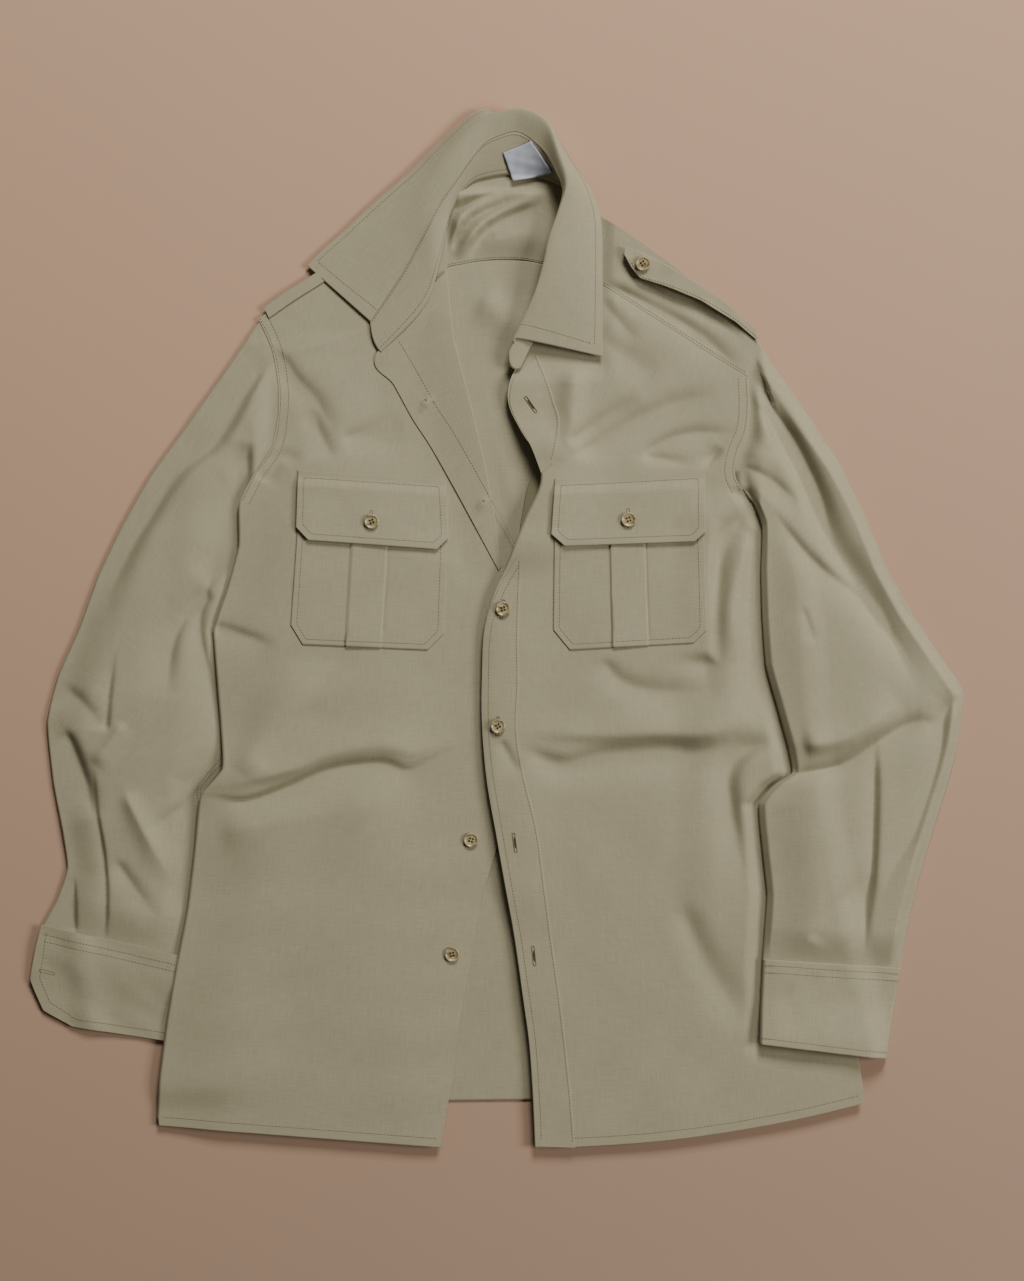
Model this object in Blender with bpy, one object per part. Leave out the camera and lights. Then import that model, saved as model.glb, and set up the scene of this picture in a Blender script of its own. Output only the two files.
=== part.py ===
# A long-sleeved uniform shirt laid flat and open at the neck, every cut and sewn piece a thin wall.
# Tables and sizes are in millimetres: x runs to the right sleeve, y to the collar, z up from the floor.
# "Left" and "right" are as seen from above.
import math

import bmesh
import bpy
import numpy as np

MILLIMETRE = 0.001

# Cloth and stacking
CLOTH = 1.2
TRIM_CLOTH = 1.0
COLLAR_CLOTH = 1.5
LAYER_GAP = 0.4
SEAM_GAP = 1.6
BACK_TOP = CLOTH
FRONT_LOWEST = BACK_TOP + LAYER_GAP + CLOTH
OVERLAP_LIFT = 2.6

# Sleeve lying under the body on the left, and on top of it on the right
TUCKED_HEIGHT = 4.6
TUCK_REACH = 29.0
TUCK_RAMP = 26.0
SLEEVE_REST = 5.0
SLEEVE_RAMP = 26.0
SLEEVE_EDGE = 3.6

# How far down the sleeves, as shares of their length, the armholes' curves are felt
ARMHOLE_REACH = 0.3
ARMHOLE_REACH_LOSS = 0.34

# Buttons
BUTTON_RADIUS = 6.2
BUTTON_HEIGHT = 2.6
BUTTON_RIM = 1.1
BUTTON_DISH = 0.6
BUTTON_HOLE_RADIUS = 0.85
BUTTON_HOLE_SPREAD = 1.5
BUTTON_SIDES = 12
HOLE_SIDES = 4

# Colours: linear red, green, blue
CLOTH_COLOUR = (0.33, 0.30, 0.21, 1.0)
BUTTON_COLOUR = (0.50, 0.45, 0.28, 1.0)
LABEL_COLOUR = (0.55, 0.57, 0.62, 1.0)

# Rows of the left front, shoulder to hem: armhole or side edge, then roll line or front edge
LEFT_FRONT = (
    # left x, left y, right x, right y
    (-201, 262, -38, 366),
    (-189, 235, -43, 332),
    (-184, 206, -42, 298),
    (-184, 181, -40, 265),
    (-189, 154, -34, 234),
    (-203, 133, -27, 206),
    (-215, 109, -20, 178),
    (-215, 71, -11, 136),
    (-225, 34, -3, 97),
    (-236, 0, 2, 63),
    (-233, -42, 9, 17),
    (-230, -80, 12, -34),
    (-228, -116, 11, -88),
    (-247, -140, 7, -134),
    (-252, -185, 0, -181),
    (-258, -235, -15, -231),
    (-267, -281, -23, -280),
    (-275, -328, -32, -329),
    (-281, -374, -39, -382),
    (-284, -416, -48, -434),
)

# Rows of the right front, yoke seam to hem: neck and front edge, then armhole or side edge
RIGHT_FRONT = (
    (54, 312, 210, 212),
    (49, 290, 211, 189),
    (40, 265, 209, 168),
    (27, 239, 202, 150),
    (12, 213, 199, 132),
    (9, 191, 205, 118),
    (19, 168, 214, 97),
    (34, 143, 222, 71),
    (38, 122, 229, 46),
    (25, 92, 235, 17),
    (14, 65, 240, -13),
    (-2, 32, 245, -46),
    (-11, 0, 249, -80),
    (-13, -38, 253, -113),
    (-13, -80, 258, -151),
    (-9, -126, 265, -189),
    (-1, -172, 273, -227),
    (7, -217, 281, -265),
    (15, -260, 289, -298),
    (21, -305, 297, -332),
    (27, -349, 303, -363),
    (30, -391, 306, -382),
    (32, -434, 306, -397),
)
RIGHT_ARMHOLE_ROWS = 6
HEM_BOW = 9.0

# Front strip of the yoke over each shoulder
RIGHT_YOKE = (
    (58, 364, 218, 245),
    (57, 338, 214, 229),
    (54, 312.55, 210.1, 212.55),
)
RIGHT_YOKE_BOW = 8.0

# Back yoke, neck to its lower seam, in columns from the left shoulder to the right one
YOKE = (
    # top x, top y, bottom x, bottom y
    (-198, 259, -183, 217),
    (-150, 293, -142, 246),
    (-95, 329, -92, 279),
    (-46, 360, -48, 303),
    (-24, 372, -30, 308),
    (-6, 378, -12, 311),
    (14, 380, 8, 312),
    (38, 377, 30, 310),
    (62, 359, 56, 302),
    (108, 326, 100, 276),
    (160, 288, 152, 242),
    (217, 245, 210, 205),
)

# Back, yoke seam to hem: side edges
BACK = (
    (-182, 215, 208, 203),
    (-181, 181, 208, 168),
    (-186, 154, 200, 147),
    (-197, 131, 199, 130),
    (-211, 108, 204, 114),
    (-215, 71, 213, 97),
    (-225, 34, 224, 62),
    (-236, 0, 235, 15),
    (-233, -42, 242, -30),
    (-230, -80, 249, -80),
    (-228, -116, 253, -113),
    (-247, -140, 257, -145),
    (-252, -185, 264, -185),
    (-258, -235, 275, -235),
    (-267, -281, 284, -281),
    (-275, -328, 295, -326),
    (-281, -372, 303, -362),
    (-284, -399, 306, -392),
)

# Turned-out left front edge: stand seam and band edge, then the roll line
LAPEL = (
    (-56, 272, -41.5, 283),
    (-98, 229, -38, 250),
    (-87, 208, -33, 228),
    (-71, 177, -25, 197),
    (-56, 154, -19, 172),
    (-35, 117, -10, 133),
    (-15, 80, -3, 95),
    (1, 50, 3.5, 54),
)

# Left sleeve's armhole: along the body's edge, its lower end under the body
LEFT_ARMHOLE = (
    (-201, 262),
    (-189, 235),
    (-184, 206),
    (-184, 181),
    (-189, 154),
    (-194, 134),
    (-195, 113),
)

# Left sleeve, armhole to cuff: outer edge, then inner edge
LEFT_SLEEVE = (
    (-201, 262, -195, 113),
    (-231, 217, -208, 74),
    (-262, 172, -212, 32),
    (-292, 130, -217, -2),
    (-317, 86, -220, -34),
    (-336, 46, -221, -62),
    (-352, 2, -220, -86),
    (-370, -39, -222, -108),
    (-379, -77, -228, -133),
    (-374, -128, -237, -163),
    (-366, -170, -243, -194),
    (-362, -200, -247, -227),
    (-371, -227, -250, -254),
    (-383, -249, -254, -277),
)

# Right sleeve
RIGHT_SLEEVE = (
    (218, 245, 205, 119),
    (254, 193, 216, 104),
    (286, 144, 222, 86),
    (309, 97, 221, 48),
    (326, 55, 222, 10),
    (348, 15, 225, -30),
    (372, -21, 235, -66),
    (392, -52, 244, -99),
    (388, -92, 247, -120),
    (382, -118, 232, -130),
    (372, -151, 219, -146),
    (359, -193, 222, -183),
    (348, -235, 226, -221),
    (342, -264, 224, -252),
    (339, -286, 222, -278),
)

# Cuffs, seam to free edge: outer end, then the end beside the body
LEFT_CUFF = (
    (-383.5, -250.3, -258, -278.6),
    (-389, -266, -257.5, -297),
    (-392.7, -294, -258, -320),
    (-382, -319, -258, -340),
    (-357, -333, -258, -348.5),
)
RIGHT_CUFF = (
    (339, -286.45, 222, -278.45),
    (334.4, -311, 221, -301.5),
    (330.7, -335, 220, -324),
    (327, -359, 219, -346),
)

# Collar, from its left front end round the back to its right front end
COLLAR = (
    # neck seam x, y, z; stand and leaf seam x, y, z; turn of the leaf x, y, z; free edge x, y, z
    (-98, 233, 8.2, -107, 259, 8.4, -134, 283, 8.0, -160, 306, 7.2),
    (-80, 250, 8.4, -92, 281, 8.6, -118, 299, 8.2, -146, 320, 7.2),
    (-66, 265, 8.6, -79, 301, 9.2, -103, 316, 8.8, -131, 333, 7.2),
    (-56, 281, 9.0, -68, 321, 10.5, -87, 336, 9.6, -113, 350, 7.2),
    (-50, 302, 9.0, -57, 341, 12.5, -74, 354, 10.5, -95, 366, 7.0),
    (-44, 328, 8.0, -47, 359, 14.5, -58, 374, 12.5, -72, 386, 7.0),
    (-38, 352, 6.0, -34, 377, 16.0, -40, 397, 14.5, -48, 409, 7.0),
    (-24, 374, 4.2, -14, 404, 17.0, -12, 425, 17.5, -14, 437, 7.0),
    (-6, 380.5, 4.0, 3, 414, 17.5, 6, 434, 20.0, 10, 426, 2.6),
    (14, 382.5, 4.0, 19, 416, 18.0, 22, 435, 21.0, 24, 424, 2.6),
    (38, 379, 4.2, 37, 402, 19.0, 41, 425, 23.0, 47, 415, 3.2),
    (58, 368, 6.0, 48, 384, 21.0, 52, 399, 25.0, 64, 391, 5.0),
    (66, 346, 8.0, 54, 366, 22.0, 60, 374, 26.0, 79, 368, 8.0),
    (61, 324, 8.4, 49, 345, 21.0, 56, 353, 25.0, 87, 342, 8.4),
    (55, 303, 8.4, 42, 322, 19.0, 48, 329, 23.0, 88, 308, 9.2),
    (48, 282, 8.4, 37, 298, 17.0, 43, 304, 20.5, 88, 281, 9.2),
    (37, 258, 8.4, 29, 272, 14.5, 35, 277, 17.5, 88, 254, 9.2),
    (22, 226, 8.4, 13, 240, 12.0, 20, 243, 14.0, 88, 229, 9.2),
)

# Folds that stand up or sink in each piece: a line, its sideways bow, the height at its start and
# end, and the width of its slopes to the left and right of the way it runs
LEFT_FRONT_FOLDS = (
    # start x, start y, end x, end y, bow, start height, end height, left width, right width
    (-187, 235, -132, 161, -8, -3.0, -2.0, 11, 12),
    (-159, 186, -136, 139, 3, -2.5, -1.0, 10, 10),
    (-132, 160, -78, 170, 4, -1.5, -2.5, 10, 12),
    (-201, 126, -162, 144, 6, -3.5, -2.0, 9, 12),
    (-237, 4, -183, -15, 4, -3.5, -1.5, 10, 14),
    (-214, -108, -141, -17, 8, 6.0, 2.0, 16, 18),
    (-240, -140, -116, -117, 6, -4.0, -4.0, 10, 14),
    (-116, -117, -15, -94, -4, -4.0, -2.0, 10, 14),
    (-225, -112, -100, -96, 4, 5.5, 5.0, 13, 11),
    (-100, -96, -20, -76, -4, 5.0, 3.0, 13, 11),
    (-246, -170, -180, -175, 0, 3.0, 1.0, 18, 24),
)
RIGHT_FRONT_FOLDS = (
    (92, 272, 203, 214, 5, -2.5, -3.5, 9, 12),
    (58, 155, 120, 197, -6, -3.0, -2.0, 11, 10),
    (55, 140, 187, 200, -14, -4.0, -2.5, 12, 12),
    (120, 147, 204, 164, 6, -3.0, -1.5, 10, 10),
    (189, 154, 180, 84, -7, -3.0, -1.5, 9, 10),
    (206, 109, 180, 59, -4, -4.5, -5.0, 10, 12),
    (180, 59, 172, -34, 4, -5.0, -4.0, 11, 13),
    (206, 48, 176, -6, -5, -3.5, -3.0, 10, 12),
    (86, -22, 195, -50, -10, -1.5, -3.0, 12, 12),
    (19, -96, 170, -102, 7, -4.0, -5.0, 11, 14),
    (170, -102, 206, -90, -3, -5.0, -5.0, 11, 14),
    (30, -82, 200, -84, 5, 3.0, 5.5, 12, 11),
    (206, -96, 191, -116, 0, -5.0, -4.0, 10, 10),
    (191, -116, 216, -233, 5, -5.0, -2.0, 10, 13),
    (153, -227, 210, -330, 6, -2.5, -2.0, 14, 14),
    (64, 228, 50, 132, -6, 6.0, 6.5, 12, 14),
)
BACK_FOLDS = (
    (-16, 280, 30, 240, 4, 3.0, 1.0, 13, 15),
    (-28, 190, 8, 80, 2, 2.2, 1.5, 14, 14),
)
YOKE_FOLDS = (
    (6, 372, -40, 332, 8, 5.0, 4.0, 6, 8),
    (22, 364, -34, 312, 10, 5.0, 4.0, 7, 8),
    (40, 352, 0, 316, 6, 4.5, 2.0, 8, 9),
)
LAPEL_FOLDS = (
    (-62, 192, -58, 188, 0, 1.4, 1.4, 8, 8),
    (-14, 108, -10, 104, 0, 1.4, 1.4, 8, 8),
)
LEFT_SLEEVE_FOLDS = (
    (-196, 232, -262, 150, -6, -5.0, -3.0, 10, 14),
    (-262, 150, -322, 52, -6, -3.0, -4.0, 10, 14),
    (-244, 26, -270, 4, 4, -4.0, -3.0, 10, 14),
    (-270, 4, -277, -42, 4, -3.0, -3.0, 10, 12),
    (-320, -17, -328, -96, 3, -4.0, -3.0, 8, 12),
    (-376, -50, -330, -88, -5, -3.5, -3.5, 9, 12),
    (-358, -97, -330, -189, -8, -4.5, -4.0, 10, 14),
    (-329, -189, -329, -262, 3, -5.0, -4.0, 5, 10),
    (-313, -134, -275, -210, -4, -3.5, -2.5, 12, 14),
    (-321, -189, -270, -248, 4, 3.5, 3.0, 10, 12),
)
RIGHT_SLEEVE_FOLDS = (
    (214, 226, 296, 108, -4, -4.0, -5.0, 12, 12),
    (296, 108, 380, -44, -6, -5.0, -4.0, 12, 12),
    (214, 188, 279, 72, 10, -3.5, -2.0, 12, 14),
    (229, 100, 356, -66, 10, -2.5, -3.0, 9, 12),
    (250, -122, 351, -77, 6, -6.0, -4.0, 12, 10),
    (262, -98, 362, -56, 6, 4.0, 3.0, 14, 10),
    (384, -58, 351, -168, 8, -5.0, -4.0, 12, 14),
    (351, -168, 312, -252, 2, -4.0, -2.0, 14, 14),
    (317, -97, 307, -280, 3, -3.0, -5.0, 6, 12),
    (258, -264, 312, -204, -4, -3.0, -2.0, 12, 12),
)

# Pockets: corners of the flap and of the bag, clockwise from the top left
POCKETS = {
    "left": {
        "flap": ((-167, 133.5), (-43.5, 125.5), (-41, 77.5), (-51, 67.5), (-158, 75), (-168.5, 86)),
        "bag": ((-165, 118), (-41, 110), (-45, -3), (-59, -17), (-163, -12.5), (-173, 4)),
        "pleat": ((-123, 72), (-92, 72), (-97, -15), (-128, -15)),
        "button": (-105.4, 90.7),
    },
    "right": {
        "flap": ((48, 126), (174, 133), (174, 82.5), (165, 74), (56.5, 70), (45, 80)),
        "bag": ((48, 110), (172, 116), (175, 0), (164, -11), (61, -17), (47, 0)),
        "pleat": ((94, 72), (124, 74), (127, -14), (96, -14)),
        "button": (109.6, 92.4),
    },
}
PLEAT_LIFT = 0.8

# Placket strip along the right front's edge: free edge, then the strip's inner edge
PLACKET = (
    (17.5, 62, 20, 63),
    (8, 47, 19.5, 47),
    (0.2, 32, 18.5, 30),
    (-8, 10, 18, 8),
    (-11.4, -10, 17.5, -14),
    (-12.3, -40, 18, -42),
    (-12.3, -80, 16.5, -84),
    (-9.5, -115, 22, -120),
    (-1.5, -165, 33.5, -168),
    (6.6, -212, 40, -216),
    (14.5, -256, 46, -262),
    (21, -301, 52.5, -308),
    (27, -345, 57.5, -350),
    (30.2, -389, 62, -394),
    (32.2, -433, 65, -434),
)
UPPER_PLACKET = (
    (13, 210, 33, 231),
    (10, 192, 40, 214),
    (16, 175, 47, 193),
    (27.5, 154, 52, 172),
    (36.5, 131, 46, 139),
)
PLACKET_BUTTONS = (
    # name, x, y
    ("placket_button_1", 4.6, 17.6),
    ("placket_button_2", 0.4, -80.6),
)
BAND_BUTTONS = (
    ("placket_button_3", -22.3, -176.4),
    ("placket_button_4", -38.2, -272.2),
)

RIGHT_EPAULETTE = (
    # shoulder edge x, y; front edge x, y
    (106, 319, 106, 314),
    (116, 315, 115, 300),
    (136, 304, 137, 292),
    (170, 283, 171, 277),
    (200, 263, 198, 259),
    (216, 250, 217, 243),
)
LEFT_EPAULETTE = (
    (-196, 271, -192, 262),
    (-176, 285, -172, 276),
    (-154, 299, -150, 290),
    (-132, 313, -128, 304),
)
RIGHT_EPAULETTE_BUTTON = (121.4, 306.0)
EPAULETTE_BUTTON_BASE = 9.0


def smooth_path(points, at):
    """Smooth curve through the points; at runs from 0 at the first to 1 at the last."""
    points = np.asarray(points, dtype=float)
    last = len(points) - 1
    place = np.clip(np.asarray(at, dtype=float) * last, 0, last)
    index = np.minimum(place.astype(int), last - 1)
    part = (place - index)[:, None]
    before = points[np.maximum(index - 1, 0)]
    start = points[index]
    end = points[index + 1]
    after = points[np.minimum(index + 2, last)]
    slope = end - before
    bend = 2 * before - 5 * start + 4 * end - after
    twist = 3 * start - before - 3 * end + after
    return start + 0.5 * part * (slope + part * (bend + part * twist))


def ease(value):
    """Smooth step from 0 to 1."""
    value = np.clip(value, 0.0, 1.0)
    return value * value * (3 - 2 * value)


def fold_height(x, y, folds):
    """Sum of the folds: a rounded crest along each bowed line, fading round its ends."""
    total = np.zeros_like(x)
    for start_x, start_y, end_x, end_y, bow, start_height, end_height, left, right in folds:
        run_x = end_x - start_x
        run_y = end_y - start_y
        length = math.hypot(run_x, run_y)
        along = ((x - start_x) * run_x + (y - start_y) * run_y) / length ** 2
        inside = np.clip(along, 0, 1)
        side = ((x - start_x) * run_y - (y - start_y) * run_x) / length
        side = side - bow * 4 * inside * (1 - inside)
        beyond = (along - inside) * length
        width = np.where(side > 0, right, left)
        distance = (side / width) ** 2 + (beyond / (0.5 * (left + right))) ** 2
        total += (start_height + (end_height - start_height) * inside) * np.exp(-distance)
    return total


def above_zero(height, softness=1.5):
    """Keeps a height above nothing, with a soft corner."""
    return 0.5 * (height + np.sqrt(height * height + softness * softness))


def edge_at(rows, y, column):
    """x of a side edge at each y, read from the rows of a panel."""
    rows = np.asarray(rows, dtype=float)
    order = np.argsort(rows[:, column + 1])
    return np.interp(y, rows[order, column + 1], rows[order, column])


def inside_pocket(x, y, margin):
    """1 over either pocket, 0 away from both."""
    mask = np.zeros_like(x)
    for pocket in POCKETS.values():
        corners = np.array(pocket["flap"] + pocket["bag"])
        low = corners.min(axis=0)
        high = corners.max(axis=0)
        reach_x = np.minimum(x - low[0], high[0] - x)
        reach_y = np.minimum(y - low[1], high[1] - y)
        mask = np.maximum(mask, ease((np.minimum(reach_x, reach_y) + margin) / margin))
    return mask


def tuck_lift(x, y):
    """Rise of the body's left margin where it lies over the left sleeve."""
    reach = x - edge_at(LEFT_FRONT, y, 0)
    length = ease((165 - y) / 32) * ease((y + 390) / 30)
    return TUCKED_HEIGHT * length * ease((TUCK_REACH + TUCK_RAMP - reach) / TUCK_RAMP)


def left_front_top(x, y):
    """Upper side of the left front."""
    folds = fold_height(x, y, LEFT_FRONT_FOLDS) * (1 - 0.9 * inside_pocket(x, y, 16))
    front_edge = edge_at(RIGHT_FRONT, y, 0)
    covered = ease((x - front_edge + 22) / 22) * ease((72 - y) / 20)
    band_edge = edge_at(LAPEL[1:], y, 0)
    under_lapel = ease((y - 44) / 24) * ease((x - band_edge + 34) / 26)
    shoulder = ease((y - 225) / 30)
    quiet = np.clip(np.maximum(np.maximum(covered, under_lapel), shoulder), 0, 1)
    reach = x - edge_at(LEFT_FRONT, y, 0)
    swell = 3.4 * ease(reach / 26)
    return FRONT_LOWEST + tuck_lift(x, y) + above_zero((swell + folds) * (1 - quiet))


def right_front_top(x, y):
    """Upper side of the right front."""
    folds = fold_height(x, y, RIGHT_FRONT_FOLDS) * (1 - 0.9 * inside_pocket(x, y, 14))
    sleeve = edge_at(RIGHT_SLEEVE, y, 2)
    covered = ease((x - sleeve + 34) / 28) * ease((122 - y) / 12)
    neck = ease((y - 205) / 25) * ease((100 - x) / 16)
    quiet = np.maximum(covered, neck)
    open_edge = 7.0 * ease((190 - y) / 40) * ease((y - 40) / 40)
    edge_reach = x - edge_at(RIGHT_FRONT, y, 0)
    folds = folds * (0.35 + 0.65 * ease((edge_reach - 25) / 25))
    lip = open_edge * ease((70 - edge_reach) / 60)
    overlap = OVERLAP_LIFT * ease((60 - edge_reach) / 40)
    overlap = overlap * ease((90 - y) / 30) * ease((y + 260) / 50)
    swell = 3.6 * ease((x + 40) / 40)
    return FRONT_LOWEST + overlap + above_zero((swell + lip + folds) * (1 - quiet))


def right_sleeve_bottom(x, y):
    """Underside of the right sleeve: on the body, then down to the floor beyond its edge."""
    beyond = x - edge_at(RIGHT_FRONT, y, 2) - 8
    return SLEEVE_REST * ease((SLEEVE_RAMP - beyond) / SLEEVE_RAMP)


def back_top(x, y):
    """Upper side of the back: flat under the fronts, softly folded where the neck shows it."""
    left = edge_at(LEFT_FRONT, y, 2)
    right = edge_at(RIGHT_FRONT, y, 0)
    shown = ease((x - left - 18) / 12) * ease((right - 4 - x) / 14) * ease((y - 90) / 30)
    return BACK_TOP + tuck_lift(x, y) + shown * above_zero(fold_height(x, y, BACK_FOLDS), 0.2)


def yoke_top(x, y):
    """Upper side of the yoke's inner face, folded inside the neck."""
    shown = ease((x + 39) / 12) * ease((46 - x) / 12) * ease((371 - y) / 8) * ease((y - 309) / 8)
    return BACK_TOP + shown * above_zero(fold_height(x, y, YOKE_FOLDS), 0.2)


def lapel_top(x, y):
    """Upper side of the turned-out band: flat at its edge, high along its roll."""
    roll = edge_at(LEFT_FRONT, y, 2)
    raised = 5.5 * ease((x - roll + 30) / 34) * ease((y - 60) / 150)
    folds = fold_height(x, y, LAPEL_FOLDS)
    return FRONT_LOWEST + 0.8 + LAYER_GAP + TRIM_CLOTH + 0.6 + raised + folds


def normals_of(points, around):
    """Unit normal at each point of a grid; around says that its second direction closes."""
    if around:
        wrapped = np.concatenate((points[:, -1:], points, points[:, :1]), axis=1)
        across = wrapped[:, 2:] - wrapped[:, :-2]
    else:
        across = np.gradient(points, axis=1)
    along = np.gradient(points, axis=0)
    normal = np.cross(along, across)
    return normal / np.linalg.norm(normal, axis=2, keepdims=True)


def grid_faces(rows, columns, start, closed, flip):
    """Quads of a grid whose points are numbered row by row from start."""
    faces = []
    wide = columns if closed else columns - 1
    for row in range(rows - 1):
        for column in range(wide):
            beside = (column + 1) % columns
            a = start + row * columns + column
            b = start + row * columns + beside
            c = start + (row + 1) * columns + beside
            d = start + (row + 1) * columns + column
            faces.append((d, c, b, a) if flip else (a, b, c, d))
    return faces


def rim_faces(outer, inner, closed):
    """Quads that join two equal lines of points."""
    count = len(outer)
    steps = count if closed else count - 1
    faces = []
    for step in range(steps):
        beside = (step + 1) % count
        faces.append((outer[step], inner[step], inner[beside], outer[beside]))
    return faces


def build_object(name, points, faces, material, smooth_angle=50):
    """Makes a mesh object with its faces pointing out."""
    mesh = bpy.data.meshes.new(name)
    mesh.from_pydata((np.asarray(points) * MILLIMETRE).tolist(), [], faces)
    body = bmesh.new()
    body.from_mesh(mesh)
    if body.calc_volume(signed=True) < 0:
        bmesh.ops.reverse_faces(body, faces=body.faces)
    body.to_mesh(mesh)
    body.free()
    mesh.materials.append(material)
    mesh.shade_smooth()
    mesh.set_sharp_from_angle(angle=math.radians(smooth_angle))
    item = bpy.data.objects.new(name, mesh)
    bpy.context.scene.collection.objects.link(item)
    return item


def closed_wall(name, outer, inner, material, closed=False):
    """Closed wall between an outer and an inner grid, as an open sheet or an open-ended tube."""
    rows, columns = outer.shape[:2]
    count = rows * columns
    faces = grid_faces(rows, columns, 0, closed, False)
    faces += grid_faces(rows, columns, count, closed, True)
    index = np.arange(count).reshape(rows, columns)
    if closed:
        borders = (index[0], index[-1][::-1])
    else:
        borders = (np.concatenate((index[0], index[1:, -1], index[-1, -2::-1], index[-2:0:-1, 0])),)
    for border in borders:
        faces += rim_faces(border.tolist(), (border + count).tolist(), True)
    points = np.concatenate((outer.reshape(-1, 3), inner.reshape(-1, 3)))
    return build_object(name, points, faces, material)


def facing_up(grid):
    """The grid, with its columns reversed where its faces would point down."""
    normal = normals_of(grid, False)
    if normal[:, :, 2].mean() < 0:
        return grid[:, ::-1]
    return grid


def sheet_wall(name, plan, height, thickness, material):
    """Wall of cloth over a plan grid: upper side at height(x, y), thickness measured downwards."""
    x = plan[:, :, 0]
    y = plan[:, :, 1]
    upper = facing_up(np.dstack((x, y, height(x, y))))
    lower = upper - np.array((0.0, 0.0, thickness))
    return closed_wall(name, upper, lower, material)


def spread(count, edge=0.012):
    """Even places from 0 to 1, with one close to each end for the rolled edge."""
    middle = np.linspace(0, 1, count)
    return np.concatenate(((0.0, edge), middle[1:-1], (1 - edge, 1.0)))


def rows_plan(rows, along, across, hem_bow=0.0):
    """Plan grid of a panel: smooth side edges, straight across, the last rows bowed downwards."""
    edges = smooth_path(rows, along)
    start = edges[:, None, 0:2]
    end = edges[:, None, 2:4]
    across = np.asarray(across)[None, :, None]
    plan = start + (end - start) * across
    sag = ease((np.asarray(along)[:, None] - 0.9) / 0.1) * 4 * across[:, :, 0] * (1 - across[:, :, 0])
    plan[:, :, 1] -= hem_bow * sag
    return plan


def sleeve_walls(rows, armhole, count, across, top, bottom):
    """Outer and inner rings of a flattened sleeve, from its armhole to its cuff."""
    along = np.linspace(0, 1, count)
    edges = smooth_path(rows, along)
    start = edges[:, None, 0:2]
    end = edges[:, None, 2:4]
    share = (0.5 - 0.5 * np.cos(np.pi * np.linspace(0, 1, across)))[None, :, None]
    chord = start + (end - start) * share
    bend = armhole(share[0, :, 0]) - chord[0]
    reach_of_bend = np.maximum(ARMHOLE_REACH - ARMHOLE_REACH_LOSS * share, 0.01)
    fade = np.clip(1 - along[:, None, None] / reach_of_bend, 0, 1) ** 2
    plan = chord + bend[None] * fade
    width = np.linalg.norm(end - start, axis=2)
    reach = np.minimum(share[:, :, 0], 1 - share[:, :, 0]) * width
    roll = np.sqrt(1 - (1 - np.clip(reach / (0.6 * SLEEVE_EDGE), 0, 1)) ** 2)
    x = plan[:, :, 0]
    y = plan[:, :, 1]
    floor = bottom(x, y)
    high = np.maximum(top(x, y, reach), SLEEVE_EDGE)
    middle = plan.mean(axis=1, keepdims=True)
    inset = 1.3 * CLOTH / (0.5 * width)[:, :, None]
    inner_plan = plan + (middle - plan) * inset
    rings = []
    for grid, shift in ((plan, 0.0), (inner_plan, CLOTH)):
        half = 0.5 * SLEEVE_EDGE
        centre = floor + half
        upper = centre + (high - half - shift) * roll
        lower = centre - (half - shift) * roll
        upper = np.dstack((grid, upper))
        lower = np.dstack((grid, lower))
        rings.append(np.concatenate((upper, lower[:, -2:0:-1]), axis=1))
    return rings


def make_material(name, colour, roughness):
    """Plain Principled material of a piece."""
    material = bpy.data.materials.new(name)
    material.use_nodes = True
    shader = material.node_tree.nodes["Principled BSDF"]
    shader.inputs["Base Color"].default_value = colour
    shader.inputs["Roughness"].default_value = roughness
    shader.inputs["Metallic"].default_value = 0.0
    return material


def cloth_material(name):
    """Khaki cotton of one piece."""
    return make_material(name, CLOTH_COLOUR, 0.85)


def make_back():
    """Back panel and yoke, both resting on the floor."""
    across = (0, 0.015, 0.058, 0.085, 0.115, 0.2, 0.3, 0.4, 0.45, 0.5, 0.55, 0.6, 0.7, 0.85, 1)
    along = np.linspace(0, 1, 24)
    plan = rows_plan(BACK, along, across)
    seam = np.array(YOKE, float)
    seam_y = np.interp(plan[0, :, 0], seam[:, 2], seam[:, 3]) - SEAM_GAP
    rise = seam_y - plan[0, :, 1]
    plan[:, :, 1] += rise[None, :] * (1 - ease(along / 0.27))[:, None]
    sheet_wall("back", plan, back_top, CLOTH, cloth_material("back"))
    along = np.concatenate((np.linspace(0, 0.27, 4), np.linspace(0.32, 0.73, 11), (0.82, 0.91, 1)))
    plan = rows_plan(YOKE, along, np.linspace(0, 1, 8))
    sheet_wall("yoke", plan, yoke_top, CLOTH, cloth_material("yoke"))


def make_fronts():
    """Both fronts, and the yoke's strip over the right shoulder."""
    plan = rows_plan(LEFT_FRONT, np.linspace(0, 1, 31), spread(12))
    sheet_wall("left_front", plan, left_front_top, CLOTH, cloth_material("left_front"))
    plan = rows_plan(RIGHT_FRONT, np.linspace(0, 1, 36), spread(13), HEM_BOW)
    sheet_wall("right_front", plan, right_front_top, CLOTH, cloth_material("right_front"))
    across = np.linspace(0, 1, 14)
    plan = rows_plan(RIGHT_YOKE, np.linspace(0, 1, 5), across)
    bow = 4 * across * (1 - across) * np.linspace(1, 0, 5)[:, None]
    plan[:, :, 1] += RIGHT_YOKE_BOW * bow
    sheet_wall("right_yoke_front", plan, right_front_top, CLOTH, cloth_material("right_yoke_front"))


def make_lapel():
    """Band side of the left front, turned out over its roll line."""
    plan = rows_plan(LAPEL, np.linspace(0, 1, 18), np.linspace(0, 1, 7))
    sheet_wall("left_band", plan, lapel_top, TRIM_CLOTH, cloth_material("left_band"))


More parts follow.
